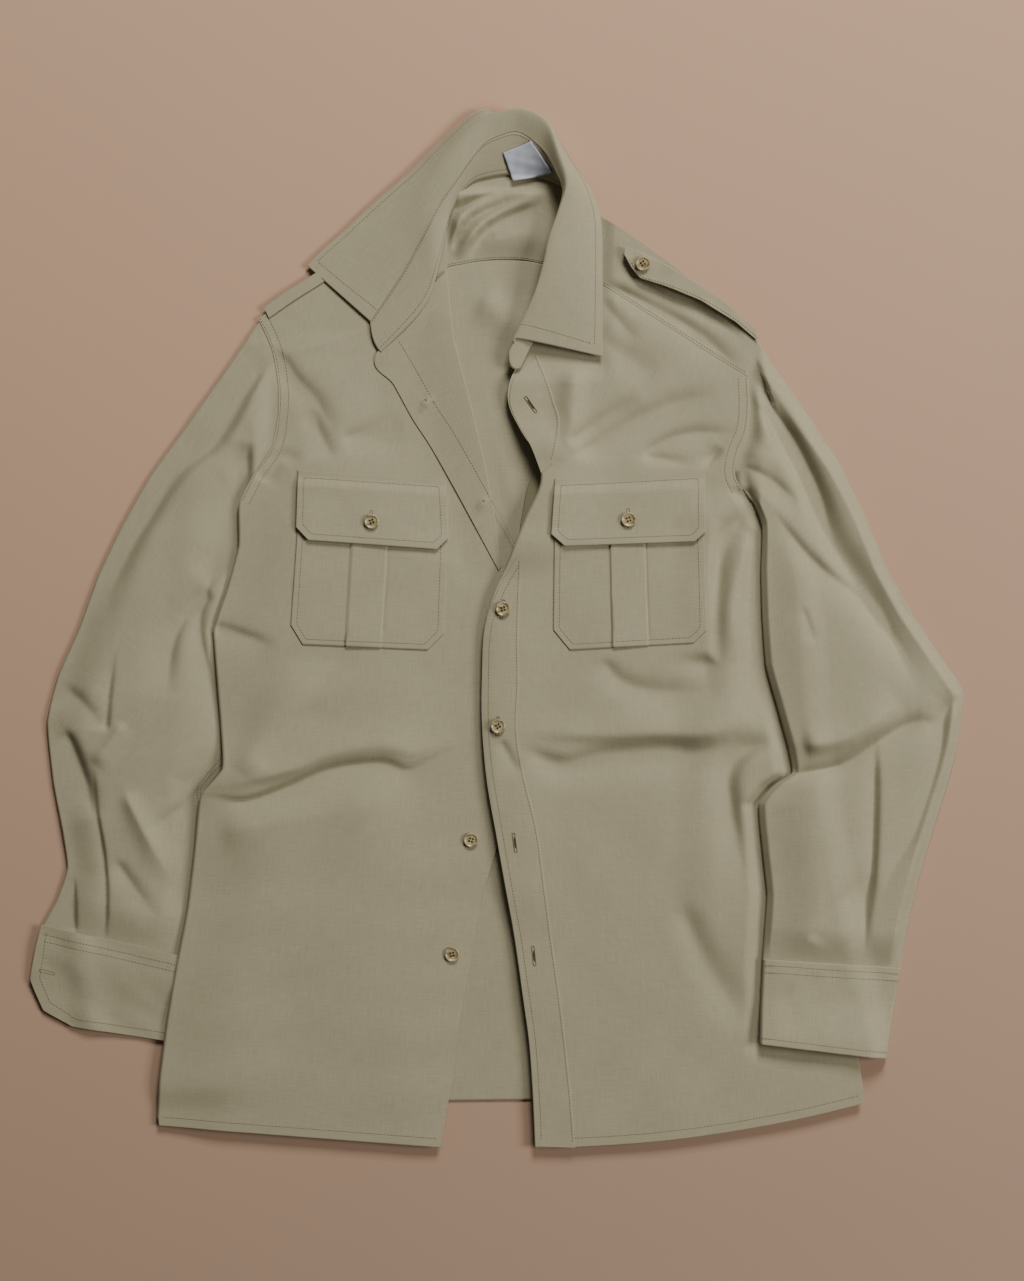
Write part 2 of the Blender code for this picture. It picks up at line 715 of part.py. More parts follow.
def make_placket():
    """Topstitched strips along the right front's edge, on the front's own surface."""

    def top(x, y):
        return right_front_top(x, y) + LAYER_GAP + TRIM_CLOTH + 0.8

    plan = rows_plan(PLACKET, np.linspace(0, 1, 34), np.linspace(0, 1, 4))
    sheet_wall("right_placket", plan, top, TRIM_CLOTH, cloth_material("right_placket"))
    plan = rows_plan(UPPER_PLACKET, np.linspace(0, 1, 10), np.linspace(0, 1, 4))
    sheet_wall("right_upper_placket", plan, top, TRIM_CLOTH, cloth_material("right_upper_placket"))


def polygon_plan(corners, down, across):
    """Plan grid of a patch with cut lower corners, from its six corners."""
    top_left, top_right, right, low_right, low_left, left = (np.array(c, float) for c in corners)
    rows = []
    side_rows = down - 3
    for step in range(side_rows + 1):
        part = step / side_rows
        rows.append((top_left + (left - top_left) * part, top_right + (right - top_right) * part))
    for part in (0.5, 1.0):
        rows.append((left + (low_left - left) * part, right + (low_right - right) * part))
    share = np.linspace(0, 1, across)[None, :, None]
    first = np.array([row[0] for row in rows])[:, None]
    second = np.array([row[1] for row in rows])[:, None]
    return first + (second - first) * share


def make_pockets():
    """Pocket bags with a raised pleat strip, and their flaps."""
    tops = {"left": left_front_top, "right": right_front_top}
    for side, pocket in POCKETS.items():
        pleat = np.array(pocket["pleat"], float)

        def bag_top(x, y, side=side, pleat=pleat):
            lean = (72 - y) / 87
            low = pleat[0, 0] + (pleat[3, 0] - pleat[0, 0]) * lean
            high = pleat[1, 0] + (pleat[2, 0] - pleat[1, 0]) * lean
            strip = ease((x - low) / 3) * ease((high - x) / 3)
            return tops[side](x, y) + LAYER_GAP + TRIM_CLOTH + 0.9 + PLEAT_LIFT * strip

        def flap_top(x, y, side=side, bag_top=bag_top, pocket=pocket):
            bag = np.array(pocket["bag"], float)
            head = bag[0, 1] + (bag[1, 1] - bag[0, 1]) * (x - bag[0, 0]) / (bag[1, 0] - bag[0, 0])
            step = ease((head + 12 - y) / 10)
            plain = tops[side](x, y) + LAYER_GAP + TRIM_CLOTH + 0.9
            return plain + step * (PLEAT_LIFT + LAYER_GAP + TRIM_CLOTH + 0.2)

        bag_plan = polygon_plan(pocket["bag"], 9, 11)
        sheet_wall(side + "_pocket", bag_plan, bag_top, TRIM_CLOTH, cloth_material(side + "_pocket"))
        flap_plan = polygon_plan(pocket["flap"], 9, 11)
        sheet_wall(side + "_flap", flap_plan, flap_top, TRIM_CLOTH, cloth_material(side + "_flap"))
        spot = np.array([[pocket["button"][0]]]), np.array([[pocket["button"][1]]])
        height = float(flap_top(*spot)[0, 0]) + 0.6
        place_button(side + "_pocket_button", pocket["button"], height)


def make_sleeves():
    """Both sleeves, as flattened tubes open at the armhole and at the cuff."""

    def left_armhole(share):
        curve = smooth_path(LEFT_ARMHOLE, share)
        return curve + np.array((-SEAM_GAP, 0.5 * SEAM_GAP))

    def left_bottom(x, y):
        return np.zeros_like(x)

    def left_top(x, y, reach):
        folds = fold_height(x, y, LEFT_SLEEVE_FOLDS)
        body = edge_at(LEFT_FRONT, y, 0)
        tucked = ease((body - 3 - x) / 24)
        cuff = ease((y + 262) / 30)
        swell = 5.5 * ease(reach / 40)
        return SLEEVE_EDGE + above_zero(swell + folds, 1.0) * tucked * cuff

    outer, inner = sleeve_walls(LEFT_SLEEVE, left_armhole, 21, 13, left_top, left_bottom)
    closed_wall("left_sleeve", outer, inner, cloth_material("left_sleeve"), closed=True)

    def right_armhole(share):
        rows = np.array(RIGHT_FRONT)[:RIGHT_ARMHOLE_ROWS, 2:]
        rows = np.concatenate((((218, 245),), rows))
        return smooth_path(rows, share) + np.array((SEAM_GAP, 0.1))

    def right_top(x, y, reach):
        folds = fold_height(x, y, RIGHT_SLEEVE_FOLDS)
        cuff = ease((y + 286) / 30)
        swell = 6.5 * ease(reach / 40)
        return SLEEVE_EDGE + above_zero(swell + folds, 1.0) * cuff

    outer, inner = sleeve_walls(RIGHT_SLEEVE, right_armhole, 21, 12, right_top, right_sleeve_bottom)
    closed_wall("right_sleeve", outer, inner, cloth_material("right_sleeve"), closed=True)


def make_cuffs():
    """Left cuff lying open and folded under itself, right cuff closed."""
    plan = rows_plan(LEFT_CUFF, np.linspace(0, 1, 7), np.linspace(0, 1, 9))
    level = np.full(plan.shape[:2], SLEEVE_EDGE)
    upper = np.dstack((plan, level))
    radius = 0.5 * SLEEVE_EDGE
    columns = [upper]
    for angle in (45, 90, 135):
        turn = upper[:, -1:].copy()
        turn[:, :, 0] += radius * math.sin(math.radians(angle))
        turn[:, :, 2] = radius + radius * math.cos(math.radians(angle))
        columns.append(turn)
    lower = upper[:, [-1, -3, -5]].copy()
    lower[:, :, 2] = 0.0
    columns.append(lower)
    outer = np.concatenate(columns, axis=1)
    normal = normals_of(outer, False)
    if normal[3, 0, 2] < 0:
        normal = -normal
    closed_wall("left_cuff", outer, outer - normal * CLOTH, cloth_material("left_cuff"))

    def seam_line(share):
        first = np.array(RIGHT_CUFF[0], float)
        return first[:2] + (first[2:] - first[:2]) * share[:, None]

    def top(x, y, reach):
        return SLEEVE_EDGE + 0.8 * ease(reach / 20)

    outer, inner = sleeve_walls(RIGHT_CUFF, seam_line, 6, 11, top, right_sleeve_bottom)
    closed_wall("right_cuff", outer, inner, cloth_material("right_cuff"), closed=True)


def make_collar():
    """Stand and leaf: open and flat on the left, round the back, folded down on the right."""
    table = np.array(COLLAR, float)
    at = np.linspace(0, 1, 35)
    rails = smooth_path(table, at)
    neck = rails[:, 0:3]
    seam = rails[:, 3:6]
    turn = rails[:, 6:9]
    edge = rails[:, 9:12]
    height = np.linalg.norm(seam - neck, axis=1)
    gap = 0.9 + 2.5 * ease((at - 0.1) / 0.12) + 3.6 * ease((at - 0.8) / 0.1)
    top = 1 - gap / height
    share = (np.linspace(0, 1, 5)[None] * top[:, None])[:, :, None]
    stand = neck[:, None] + (seam - neck)[:, None] * share
    lay_collar("collar_stand", stand)
    across = np.linspace(0, 1, 8)
    leaf = []
    for index in range(len(at)):
        profile = smooth_path((seam[index], turn[index], edge[index]), across)
        leaf.append(profile)
    leaf = np.array(leaf)
    lay_collar("collar_leaf", leaf)
    make_label(stand, at)


def lay_collar(name, outer):
    """Collar piece from its upper points, with its thickness on the underside."""
    normal = normals_of(outer, False)
    if normal[0, 2, 2] < 0:
        outer = outer[:, ::-1]
        normal = normals_of(outer, False)
    inner = outer - normal * COLLAR_CLOTH
    return closed_wall(name, outer, inner, cloth_material(name))


def make_label(stand, at):
    """Plain woven label on the inside of the stand, made from the stand's own points."""
    pick = (at > 0.47) & (at < 0.6)
    patch = stand[pick][:, 1:5]
    normal = normals_of(patch, False)
    if normal[:, :, 2].mean() < 0:
        patch = patch[:, ::-1]
        normal = normals_of(patch, False)
    lower = patch + normal * 0.6
    upper = patch + normal * 1.6
    closed_wall("label", upper, lower, make_material("label", LABEL_COLOUR, 0.7))


def make_epaulettes():
    """Shoulder straps, seen nearly edge-on."""

    def right_top(x, y):
        return right_front_top(x, y) + LAYER_GAP + COLLAR_CLOTH + 0.3

    plan = rows_plan(RIGHT_EPAULETTE, np.linspace(0, 1, 16), np.linspace(0, 1, 3))
    sheet_wall("right_epaulette", plan, right_top, COLLAR_CLOTH, cloth_material("right_epaulette"))
    place_button("right_epaulette_button", RIGHT_EPAULETTE_BUTTON, EPAULETTE_BUTTON_BASE)

    def left_top(x, y):
        return left_front_top(x, y) + LAYER_GAP + COLLAR_CLOTH

    plan = rows_plan(LEFT_EPAULETTE, np.linspace(0, 1, 8), np.linspace(0, 1, 3))
    sheet_wall("left_epaulette", plan, left_top, COLLAR_CLOTH, cloth_material("left_epaulette"))


def button_mesh():
    """Four-hole button: a rimmed disc with its holes cut through."""
    profile = (
        (0.0, 0.0),
        (0.75 * BUTTON_RADIUS, 0.0),
        (BUTTON_RADIUS, 1.0),
        (0.97 * BUTTON_RADIUS, 2.1),
        (0.86 * BUTTON_RADIUS, BUTTON_HEIGHT),
        (BUTTON_RADIUS - BUTTON_RIM - 1.0, BUTTON_HEIGHT - BUTTON_DISH),
        (0.0, BUTTON_HEIGHT - BUTTON_DISH - 0.15),
    )
    disc = revolve("button_disc", profile, BUTTON_SIDES, (0.0, 0.0))
    cutters = []
    for turn in range(4):
        angle = math.radians(45 + 90 * turn)
        centre = (BUTTON_HOLE_SPREAD * math.cos(angle), BUTTON_HOLE_SPREAD * math.sin(angle))
        pin = ((0.0, -1.0), (BUTTON_HOLE_RADIUS, -1.0), (BUTTON_HOLE_RADIUS, 4.0), (0.0, 4.0))
        cutter = revolve("button_hole_%d" % turn, pin, HOLE_SIDES, centre)
        cutter.hide_render = True
        cutter.display_type = "WIRE"
        cut = disc.modifiers.new("hole_%d" % turn, "BOOLEAN")
        cut.object = cutter
        cut.operation = "DIFFERENCE"
        cutters.append(cutter)
    depsgraph = bpy.context.evaluated_depsgraph_get()
    mesh = bpy.data.meshes.new_from_object(disc.evaluated_get(depsgraph))
    mesh.name = "button"
    for extra in [disc] + cutters:
        bpy.data.objects.remove(extra)
    mesh.materials.clear()
    mesh.materials.append(make_material("button", BUTTON_COLOUR, 0.3))
    return mesh


def revolve(name, profile, sides, centre):
    """Closed turned body: the profile starts and ends on the axis."""
    points = []
    for radius, height in profile[1:-1]:
        for side in range(sides):
            angle = 2 * math.pi * side / sides
            x = centre[0] + radius * math.cos(angle)
            y = centre[1] + radius * math.sin(angle)
            points.append((x, y, height))
    faces = []
    rings = len(profile) - 2
    for ring in range(rings - 1):
        for side in range(sides):
            beside = (side + 1) % sides
            a = ring * sides + side
            b = ring * sides + beside
            faces.append((a, b, b + sides, a + sides))
    low = len(points)
    points.append((centre[0], centre[1], profile[0][1]))
    points.append((centre[0], centre[1], profile[-1][1]))
    top = (rings - 1) * sides
    for side in range(sides):
        beside = (side + 1) % sides
        faces.append((low, beside, side))
        faces.append((low + 1, top + side, top + beside))
    return build_object(name, points, faces, make_material(name, BUTTON_COLOUR, 0.3), 40)


def place_button(name, spot, height):
    """One button, its underside at the given height."""
    item = bpy.data.objects.new(name, shared_meshes["button"])
    item.location = (spot[0] * MILLIMETRE, spot[1] * MILLIMETRE, height * MILLIMETRE)
    bpy.context.scene.collection.objects.link(item)
    return item


def make_front_buttons():
    """Buttons on the placket and, lower down, on the left front's band."""
    for name, x, y in PLACKET_BUTTONS:
        top = right_front_top(np.array([[x]]), np.array([[y]]))[0, 0]
        place_button(name, (x, y), top + 2 * LAYER_GAP + TRIM_CLOTH + 0.5)
    for name, x, y in BAND_BUTTONS:
        top = left_front_top(np.array([[x]]), np.array([[y]]))[0, 0]
        place_button(name, (x, y), top + LAYER_GAP + 0.3)


def centre_on_origin():
    """Moves the whole shirt so that the middle of its underside is the origin."""
    bpy.context.view_layer.update()
    corners = []
    for item in bpy.context.scene.objects:
        corners += [item.matrix_world @ vertex.co for vertex in item.data.vertices]
    corners = np.array(corners)
    low = corners.min(axis=0)
    high = corners.max(axis=0)
    for item in bpy.context.scene.objects:
        item.location[0] -= 0.5 * (low[0] + high[0])
        item.location[1] -= 0.5 * (low[1] + high[1])
        item.location[2] -= low[2]
    print("box before centring, mm:", (low / MILLIMETRE).round(2), (high / MILLIMETRE).round(2))


for old in list(bpy.data.objects):
    bpy.data.objects.remove(old)
shared_meshes = {"button": button_mesh()}
make_back()
make_fronts()
make_lapel()
make_placket()
make_pockets()
make_sleeves()
make_cuffs()
make_collar()
make_epaulettes()
make_front_buttons()
centre_on_origin()
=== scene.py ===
import math

import bpy
import numpy as np
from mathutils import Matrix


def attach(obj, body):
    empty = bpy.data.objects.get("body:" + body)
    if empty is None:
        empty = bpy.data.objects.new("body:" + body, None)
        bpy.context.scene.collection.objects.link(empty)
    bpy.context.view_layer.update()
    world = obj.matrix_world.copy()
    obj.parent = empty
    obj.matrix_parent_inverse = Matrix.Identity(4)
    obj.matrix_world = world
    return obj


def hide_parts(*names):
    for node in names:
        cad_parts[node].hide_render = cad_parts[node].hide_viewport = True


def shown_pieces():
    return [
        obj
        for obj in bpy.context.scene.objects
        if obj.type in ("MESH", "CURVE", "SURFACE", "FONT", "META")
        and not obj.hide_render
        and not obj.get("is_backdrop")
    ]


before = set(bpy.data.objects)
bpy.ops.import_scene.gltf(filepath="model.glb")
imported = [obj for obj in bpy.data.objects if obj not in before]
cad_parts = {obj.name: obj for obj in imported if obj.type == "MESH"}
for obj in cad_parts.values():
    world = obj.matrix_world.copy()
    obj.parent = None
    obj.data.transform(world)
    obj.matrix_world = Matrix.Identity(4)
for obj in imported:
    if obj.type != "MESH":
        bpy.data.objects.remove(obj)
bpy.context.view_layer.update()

millimetre = 0.001
centreShift = np.array((0.35, -1.5, 0.0))  # moves the drawing's origin to the solids' origin
cloth = {"panelWall": 0.7, "trimWall": 0.6, "placketWall": 0.5, "frontLowest": 2.8}
stitching = {"pitch": 2.6, "length": 1.9, "radius": 0.26, "sides": 5}
folding = {"strength": 1.8, "sharper": 0.2, "steep": 0.7, "gentle": 1.25, "lightward": (0.62, 0.78)}
# close places at a grid's edges, as shares of its length
close = {"long": (0.0, 0.001, 0.003), "patch": (0.0, 0.006, 0.02), "strip": (0.0, 0.02, 0.06),
         "strap": (0.0, 0.05, 0.12)}


def cubicThrough(before, start, end, after, part):
    # Catmull-Rom: the cubic from start to end that leaves both along the line of their neighbours
    bend = 2 * before - 5 * start + 4 * end - after
    twist = 3 * start - before - 3 * end + after
    return start + 0.5 * part * (end - before + part * (bend + part * twist))


def smoothPath(points, at, tight=0.0):
    # Smooth curve through the points, drawn towards straight stretches by the tightness
    points = np.asarray(points, float)
    last = len(points) - 1
    place = np.clip(np.asarray(at, float) * last, 0, last)
    index = np.minimum(place.astype(int), last - 1)
    part = (place - index)[:, None]
    start = points[index]
    end = points[index + 1]
    before = points[np.maximum(index - 1, 0)]
    curve = cubicThrough(before, start, end, points[np.minimum(index + 2, last)], part)
    return curve + tight * (start + part * (end - start) - curve)


def edgePath(rows, column, count):
    # Smooth line through the plan points that start at a column of the rows
    return smoothPath(np.array(rows)[:, column:column + 2], np.linspace(0, 1, count))


def ease(value):
    # Smooth step: three times the square less twice the cube, held between 0 and 1
    value = np.clip(value, 0.0, 1.0)
    return value * value * (3 - 2 * value)


def aboveZero(height, softness=1.5):
    # Half of the height plus its hypotenuse with the softness, so it never goes below nothing
    return 0.5 * (height + np.sqrt(height * height + softness * softness))


def pathDistance(x, y, path, pieces):
    # Distance to the nearest stretch of a smooth path, signed to the right of the way it runs, and how
    # far along the path that place is
    line = smoothPath(path, np.linspace(0, 1, pieces + 1))
    nearest = np.full(x.shape, 1e9)
    side = np.zeros_like(x)
    along = np.zeros_like(x)
    for index in range(pieces):
        startX, startY = line[index]
        runX, runY = line[index + 1] - line[index]
        length = runX * runX + runY * runY + 1e-9
        part = np.clip(((x - startX) * runX + (y - startY) * runY) / length, 0, 1)
        offX = x - startX - part * runX
        offY = y - startY - part * runY
        away = np.hypot(offX, offY)
        closer = away < nearest
        nearest = np.where(closer, away, nearest)
        side = np.where(closer, np.sign(offX * runY - offY * runX), side)
        along = np.where(closer, (index + part) / pieces, along)
    return nearest * side, along


def foldHeight(x, y, folds):
    # Sum of the folds: a bell across each path, mixed with a pointed crest by its sharpness, narrow where
    # the path starts, broader and lower towards its end. The slope that faces away from the light is the
    # steeper one, unless the fold is quite round or one slope is a tuck under 3 mm wide.
    total = np.zeros(x.shape)
    for path, startHeight, endHeight, left, right, sharp in folds:
        corners = np.array(path, float)
        reach = 3.6 * max(left, right)
        low = corners.min(axis=0) - reach
        high = corners.max(axis=0) + reach
        near = (x > low[0]) & (x < high[0]) & (y > low[1]) & (y < high[1])
        if not near.any():
            continue
        side, along = pathDistance(x[near], y[near], path, 4 * (len(path) - 1))
        tuck = min(left, right) < 3
        if sharp > 0 and not tuck:
            run = corners[-1] - corners[0]
            lightRight = run[1] * folding["lightward"][0] - run[0] * folding["lightward"][1] > 0
            steepRight = lightRight == (startHeight < 0)
            right = right * (folding["steep"] if steepRight else folding["gentle"])
            left = left * (folding["gentle"] if steepRight else folding["steep"])
        width = np.where(side > 0, right, left)
        if tuck:
            fade = ease(along / 0.5) * ease((1 - along) / 0.12)
        else:
            width = width * (0.7 + 0.7 * along)
            fade = (0.12 + 0.88 * ease(along / 0.2)) * ease((1 - along) / 0.35)
        offset = side / width
        bell = np.exp(-offset ** 2)
        point = np.exp(-1.5 * (np.sqrt(offset ** 2 + 0.008) - 0.089))
        height = (startHeight + (endHeight - startHeight) * along) * folding["strength"] * fade
        crest = min(1.0, sharp + folding["sharper"])
        total[near] += height * ((1 - crest) * bell + crest * point)
    return total


def unevenness(x, y, seed, size, height):
    # Sum of nine plane waves of fixed directions and phases, from the given size down to a third of it
    random = np.random.default_rng(seed)
    total = np.zeros(x.shape)
    for index in range(9):
        turn = random.uniform(0, 2 * math.pi)
        phase = random.uniform(0, 2 * math.pi)
        wave = size / (1 + 0.25 * index)
        total += np.sin(2 * math.pi * (x * math.cos(turn) + y * math.sin(turn)) / wave + phase)
    return height * total / 3.0


def edgeAt(rows, y, column):
    # x of a panel's side edge at each y
    rows = np.asarray(rows, float)
    order = np.argsort(rows[:, column + 1])
    return np.interp(y, rows[order, column + 1], rows[order, column])


def gridNormals(points, around, outward, rows=None):
    # Cross product of the grid's two directions, made one long, and turned over if most of the first
    # rows would point against the outward direction
    if around:
        wrapped = np.concatenate((points[:, -1:], points, points[:, :1]), axis=1)
        across = wrapped[:, 2:] - wrapped[:, :-2]
    else:
        across = np.gradient(points, axis=1)
    normal = np.cross(np.gradient(points, axis=0), across)
    normal = normal / np.maximum(np.linalg.norm(normal, axis=2, keepdims=True), 1e-12)
    against = np.median((normal * outward).sum(axis=2)[:rows]) < 0
    return -normal if against else normal


def gridQuads(rows, columns, start, around, flip):
    # Four neighbours of every cell, row by row
    index = start + np.arange(rows * columns).reshape(rows, columns)
    if around:
        index = np.concatenate((index, index[:, :1]), axis=1)
    quads = np.stack((index[:-1, :-1], index[:-1, 1:], index[1:, 1:], index[1:, :-1]), axis=2)
    quads = quads.reshape(-1, 4)
    return quads[:, ::-1] if flip else quads


def linkObject(name, data):
    item = bpy.data.objects.new(name, data)
    bpy.context.scene.collection.objects.link(item)
    return item


def meshObject(name, points, faces, material, texture=None):
    # Smooth mesh of the points, shifted to the solids' origin, from arrays of faces with as many corners
    # in each array; the texture holds each point's place on the uncut cloth
    points = (points + centreShift) * millimetre
    corners = np.concatenate([part.ravel() for part in faces])
    sizes = np.concatenate([np.full(len(part), part.shape[1]) for part in faces])
    mesh = bpy.data.meshes.new(name)
    mesh.vertices.add(len(points))
    mesh.vertices.foreach_set("co", points.astype(np.float32).ravel())
    mesh.loops.add(len(corners))
    mesh.loops.foreach_set("vertex_index", corners.astype(np.int32))
    mesh.polygons.add(len(sizes))
    mesh.polygons.foreach_set("loop_start", (np.cumsum(sizes) - sizes).astype(np.int32))
    mesh.polygons.foreach_set("use_smooth", np.ones(len(sizes), dtype=bool))
    mesh.update(calc_edges=True)
    if texture is not None:
        layer = mesh.uv_layers.new(name="cut")
        layer.data.foreach_set("uv", (texture[corners] * millimetre).astype(np.float32).ravel())
    mesh.validate()
    mesh.materials.append(material)
    item = linkObject(name, mesh)
    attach(item, "root")
    return item


def flatPlaces(grid):
    # Each point's place on the uncut cloth: the lengths run across and along the grid
    across = np.linalg.norm(np.diff(grid, axis=1), axis=2)
    across = np.concatenate((np.zeros((len(grid), 1)), np.cumsum(across, axis=1)), axis=1)
    across = across - 0.5 * across[:, -1:]
    along = np.linalg.norm(np.diff(grid, axis=0), axis=2).mean(axis=1)
    along = np.concatenate(((0.0,), np.cumsum(along)))
    return np.dstack((across, np.broadcast_to(along[:, None], across.shape))).reshape(-1, 2)


def closedSheet(name, top, wall, material, around=False):
    # Closed wall of cloth: the grid, the same grid moved in along its normals, and a rim between them,
    # with its faces turned so that the volume inside is above nothing
    rows, columns = top.shape[:2]
    outward = top - top.mean(axis=1, keepdims=True) if around else np.array((0, 0, 1.0))
    inner = top - gridNormals(top, around, outward) * wall
    count = rows * columns
    index = np.arange(count).reshape(rows, columns)
    quads = [gridQuads(rows, columns, 0, around, False), gridQuads(rows, columns, count, around, True)]
    if around:
        borders = (index[0], index[-1][::-1])
    else:
        borders = (np.concatenate((index[0], index[1:, -1], index[-1, -2::-1], index[-2:0:-1, 0])),)
    for border in borders:
        beside = np.roll(border, -1)
        quads.append(np.stack((border, border + count, beside + count, beside), axis=1))
    quads = np.concatenate(quads)
    points = np.concatenate((top.reshape(-1, 3), inner.reshape(-1, 3)))
    first, second, third, fourth = (points[quads[:, corner]] for corner in range(4))
    if (first * (np.cross(second, third) + np.cross(third, fourth))).sum() < 0:
        quads = quads[:, ::-1]
    areas = np.linalg.norm(np.cross(top[1:, 1:] - top[:-1, :-1], top[:-1, 1:] - top[1:, :-1]), axis=2)
    print("%s: %d faces, one side %.4f square metres" % (name, 2 * count, 0.5e-6 * areas.sum()))
    return meshObject(name, points, (quads,), material, np.tile(flatPlaces(top), (2, 1)))


def nearEdges(count, near=(0.0, 0.0022, 0.006, 0.012)):
    # Even places from 0 to 1, with close ones at both ends so that an edge stays crisp
    near = np.asarray(near)
    middle = np.linspace(0, 1, count)
    middle = middle[(middle > near[-1] + 0.004) & (middle < 1 - near[-1] - 0.004)]
    return np.concatenate((near, middle, 1 - near[::-1]))


def rowsPlan(rows, along, across, hemBow=0.0, tight=0.0):
    # Straight lines across between the two smooth side edges, the last rows bowed downwards
    edges = smoothPath(rows, along, tight)
    across = np.asarray(across)[None, :, None]
    plan = edges[:, None, 0:2] + (edges[:, None, 2:4] - edges[:, None, 0:2]) * across
    share = across[:, :, 0]
    sag = ease((np.asarray(along)[:, None] - 0.9) / 0.1) * 4 * share * (1 - share)
    plan[:, :, 1] -= hemBow * sag
    return plan


def raised(plan, top):
    # The plan's grid at the heights that a function of x and y gives
    return np.dstack((plan, top(plan[:, :, 0], plan[:, :, 1])))


def above(top, rise):
    # The same surface, higher by the rise
    def higher(x, y):
        return top(x, y) + rise

    return higher


def curlEdge(grid, radius, turn, last, steps=9):
    # Carries the sheet on past its first or last column, turning down and under at each row's radius
    edge, beside = (grid[:, -1], grid[:, -2]) if last else (grid[:, 0], grid[:, 1])
    outward = edge - beside
    level = np.hypot(outward[:, 0], outward[:, 1])
    flat = outward[:, :2] / np.maximum(level, 1e-9)[:, None]
    slope = np.arctan2(outward[:, 2], level)
    columns = []
    place = edge.copy()
    for step in range(steps):
        angle = slope - (slope + math.radians(turn)) * (step + 0.5) / steps
        length = radius * math.radians(turn) / steps
        place = place + np.column_stack((flat * (np.cos(angle) * length)[:, None], np.sin(angle) * length))
        columns.append(place[:, None])
    if last:
        return np.concatenate([grid] + columns, axis=1)
    return np.concatenate(columns[::-1] + [grid], axis=1)


def onSurface(path, top):
    # Points and normals along a plan path on a surface of heights, from its slope both ways
    x = path[:, 0]
    y = path[:, 1]
    step = 0.4
    slopeX = (top(x + step, y) - top(x - step, y)) / (2 * step)
    slopeY = (top(x, y + step) - top(x, y - step)) / (2 * step)
    normal = np.column_stack((-slopeX, -slopeY, np.ones(len(x))))
    normal /= np.linalg.norm(normal, axis=1, keepdims=True)
    return np.column_stack((x, y, top(x, y))), normal


def evenPath(points, pitch, others=()):
    # The same path with points a pitch apart, and other values read at those places
    points = np.asarray(points, float)
    run = np.concatenate(((0.0,), np.cumsum(np.linalg.norm(np.diff(points, axis=0), axis=1))))
    at = np.linspace(0, run[-1], max(2, int(run[-1] / pitch) + 1))
    values = []
    for table in (points,) + tuple(others):
        values.append(np.column_stack([np.interp(at, run, column) for column in table.T]))
    return values


def stitchRows(name, lines, material, radius=stitching["radius"], pitch=stitching["pitch"], dip=0.1):
    # Spindles of thread along each line of points and normals: four rings that swell and close again,
    # and a flat cap at both ends
    sides = stitching["sides"]
    share = stitching["length"] / stitching["pitch"]
    stations = np.array((-0.5, -0.3, 0.3, 0.5))
    swell = np.array((0.25, 1.0, 1.0, 0.25))
    turn = 2 * math.pi * np.arange(sides) / sides
    points = []
    for path, normals in lines:
        centre, up = evenPath(path, pitch, (normals,))
        middle = 0.5 * (centre[1:] + centre[:-1])
        forward = centre[1:] - centre[:-1]
        length = np.linalg.norm(forward, axis=1, keepdims=True)
        forward = forward / np.maximum(length, 1e-9)
        aside = np.cross(0.5 * (up[1:] + up[:-1]), forward)
        aside /= np.maximum(np.linalg.norm(aside, axis=1, keepdims=True), 1e-9)
        up = np.cross(forward, aside)[:, None, None]
        around = aside[:, None, None] * np.cos(turn)[:, None] + up * np.sin(turn)[:, None]
        reach = stations[None, :, None, None] * share * length[:, None, None]
        rings = middle[:, None, None] + up * dip + forward[:, None, None] * reach
        bow = up * (0.12 * (swell - 0.6))[:, None, None]
        points.append((rings + bow + around * radius * swell[:, None, None]).reshape(-1, 3))
    points = np.concatenate(points)
    starts = np.arange(0, len(points), 4 * sides)[:, None]
    ring = np.arange(sides)
    beside = np.roll(ring, -1)
    cell = np.stack((ring, beside, beside + sides, ring + sides), axis=1).ravel()
    cells = np.concatenate([cell + level * sides for level in range(3)])
    caps = np.concatenate((starts + ring[::-1], starts + 3 * sides + ring))
    print("%s: %d stitches" % (name, len(starts)))
    return meshObject(name, points, ((starts + cells).reshape(-1, 4), caps), material)


def offsetPath(path, distance):
    # The path moved sideways, to the right of the way it runs
    path = np.asarray(path, float)
    forward = np.gradient(path, axis=0)
    forward /= np.maximum(np.linalg.norm(forward, axis=1, keepdims=True), 1e-9)
    return path + distance * np.column_stack((forward[:, 1], -forward[:, 0]))


def insetPolygon(corners, distance):
    # Closed outline with every side moved in by the distance, corners where the moved sides meet
    corners = np.asarray(corners, float)
    centre = corners.mean(axis=0)
    sides = []
    for start, run in zip(corners, np.roll(corners, -1, axis=0) - corners):
        normal = np.array((run[1], -run[0])) / np.hypot(*run)
        if (centre - start) @ normal < 0:
            normal = -normal
        sides.append((start + normal * distance, run))
    points = []
    for index, (other, second) in enumerate(sides):
        start, run = sides[index - 1]
        part = np.linalg.solve(np.column_stack((run, -second)), other - start)[0]
        points.append(start + part * run)
    return np.array(points)


def link(tree, source, target):
    tree.links.new(source, target)


def newMaterial(name):
    # The material, its node tree and its Principled BSDF
    material = bpy.data.materials.new(name)
    material.use_nodes = True
    return material, material.node_tree, material.node_tree.nodes["Principled BSDF"]


def mathNode(tree, operation, first, second):
    node = tree.nodes.new("ShaderNodeMath")
    node.operation = operation
    for socket, value in zip(node.inputs, (first, second)):
        if isinstance(value, (int, float)):
            socket.default_value = value
        else:
            link(tree, value, socket)
    return node.outputs[0]


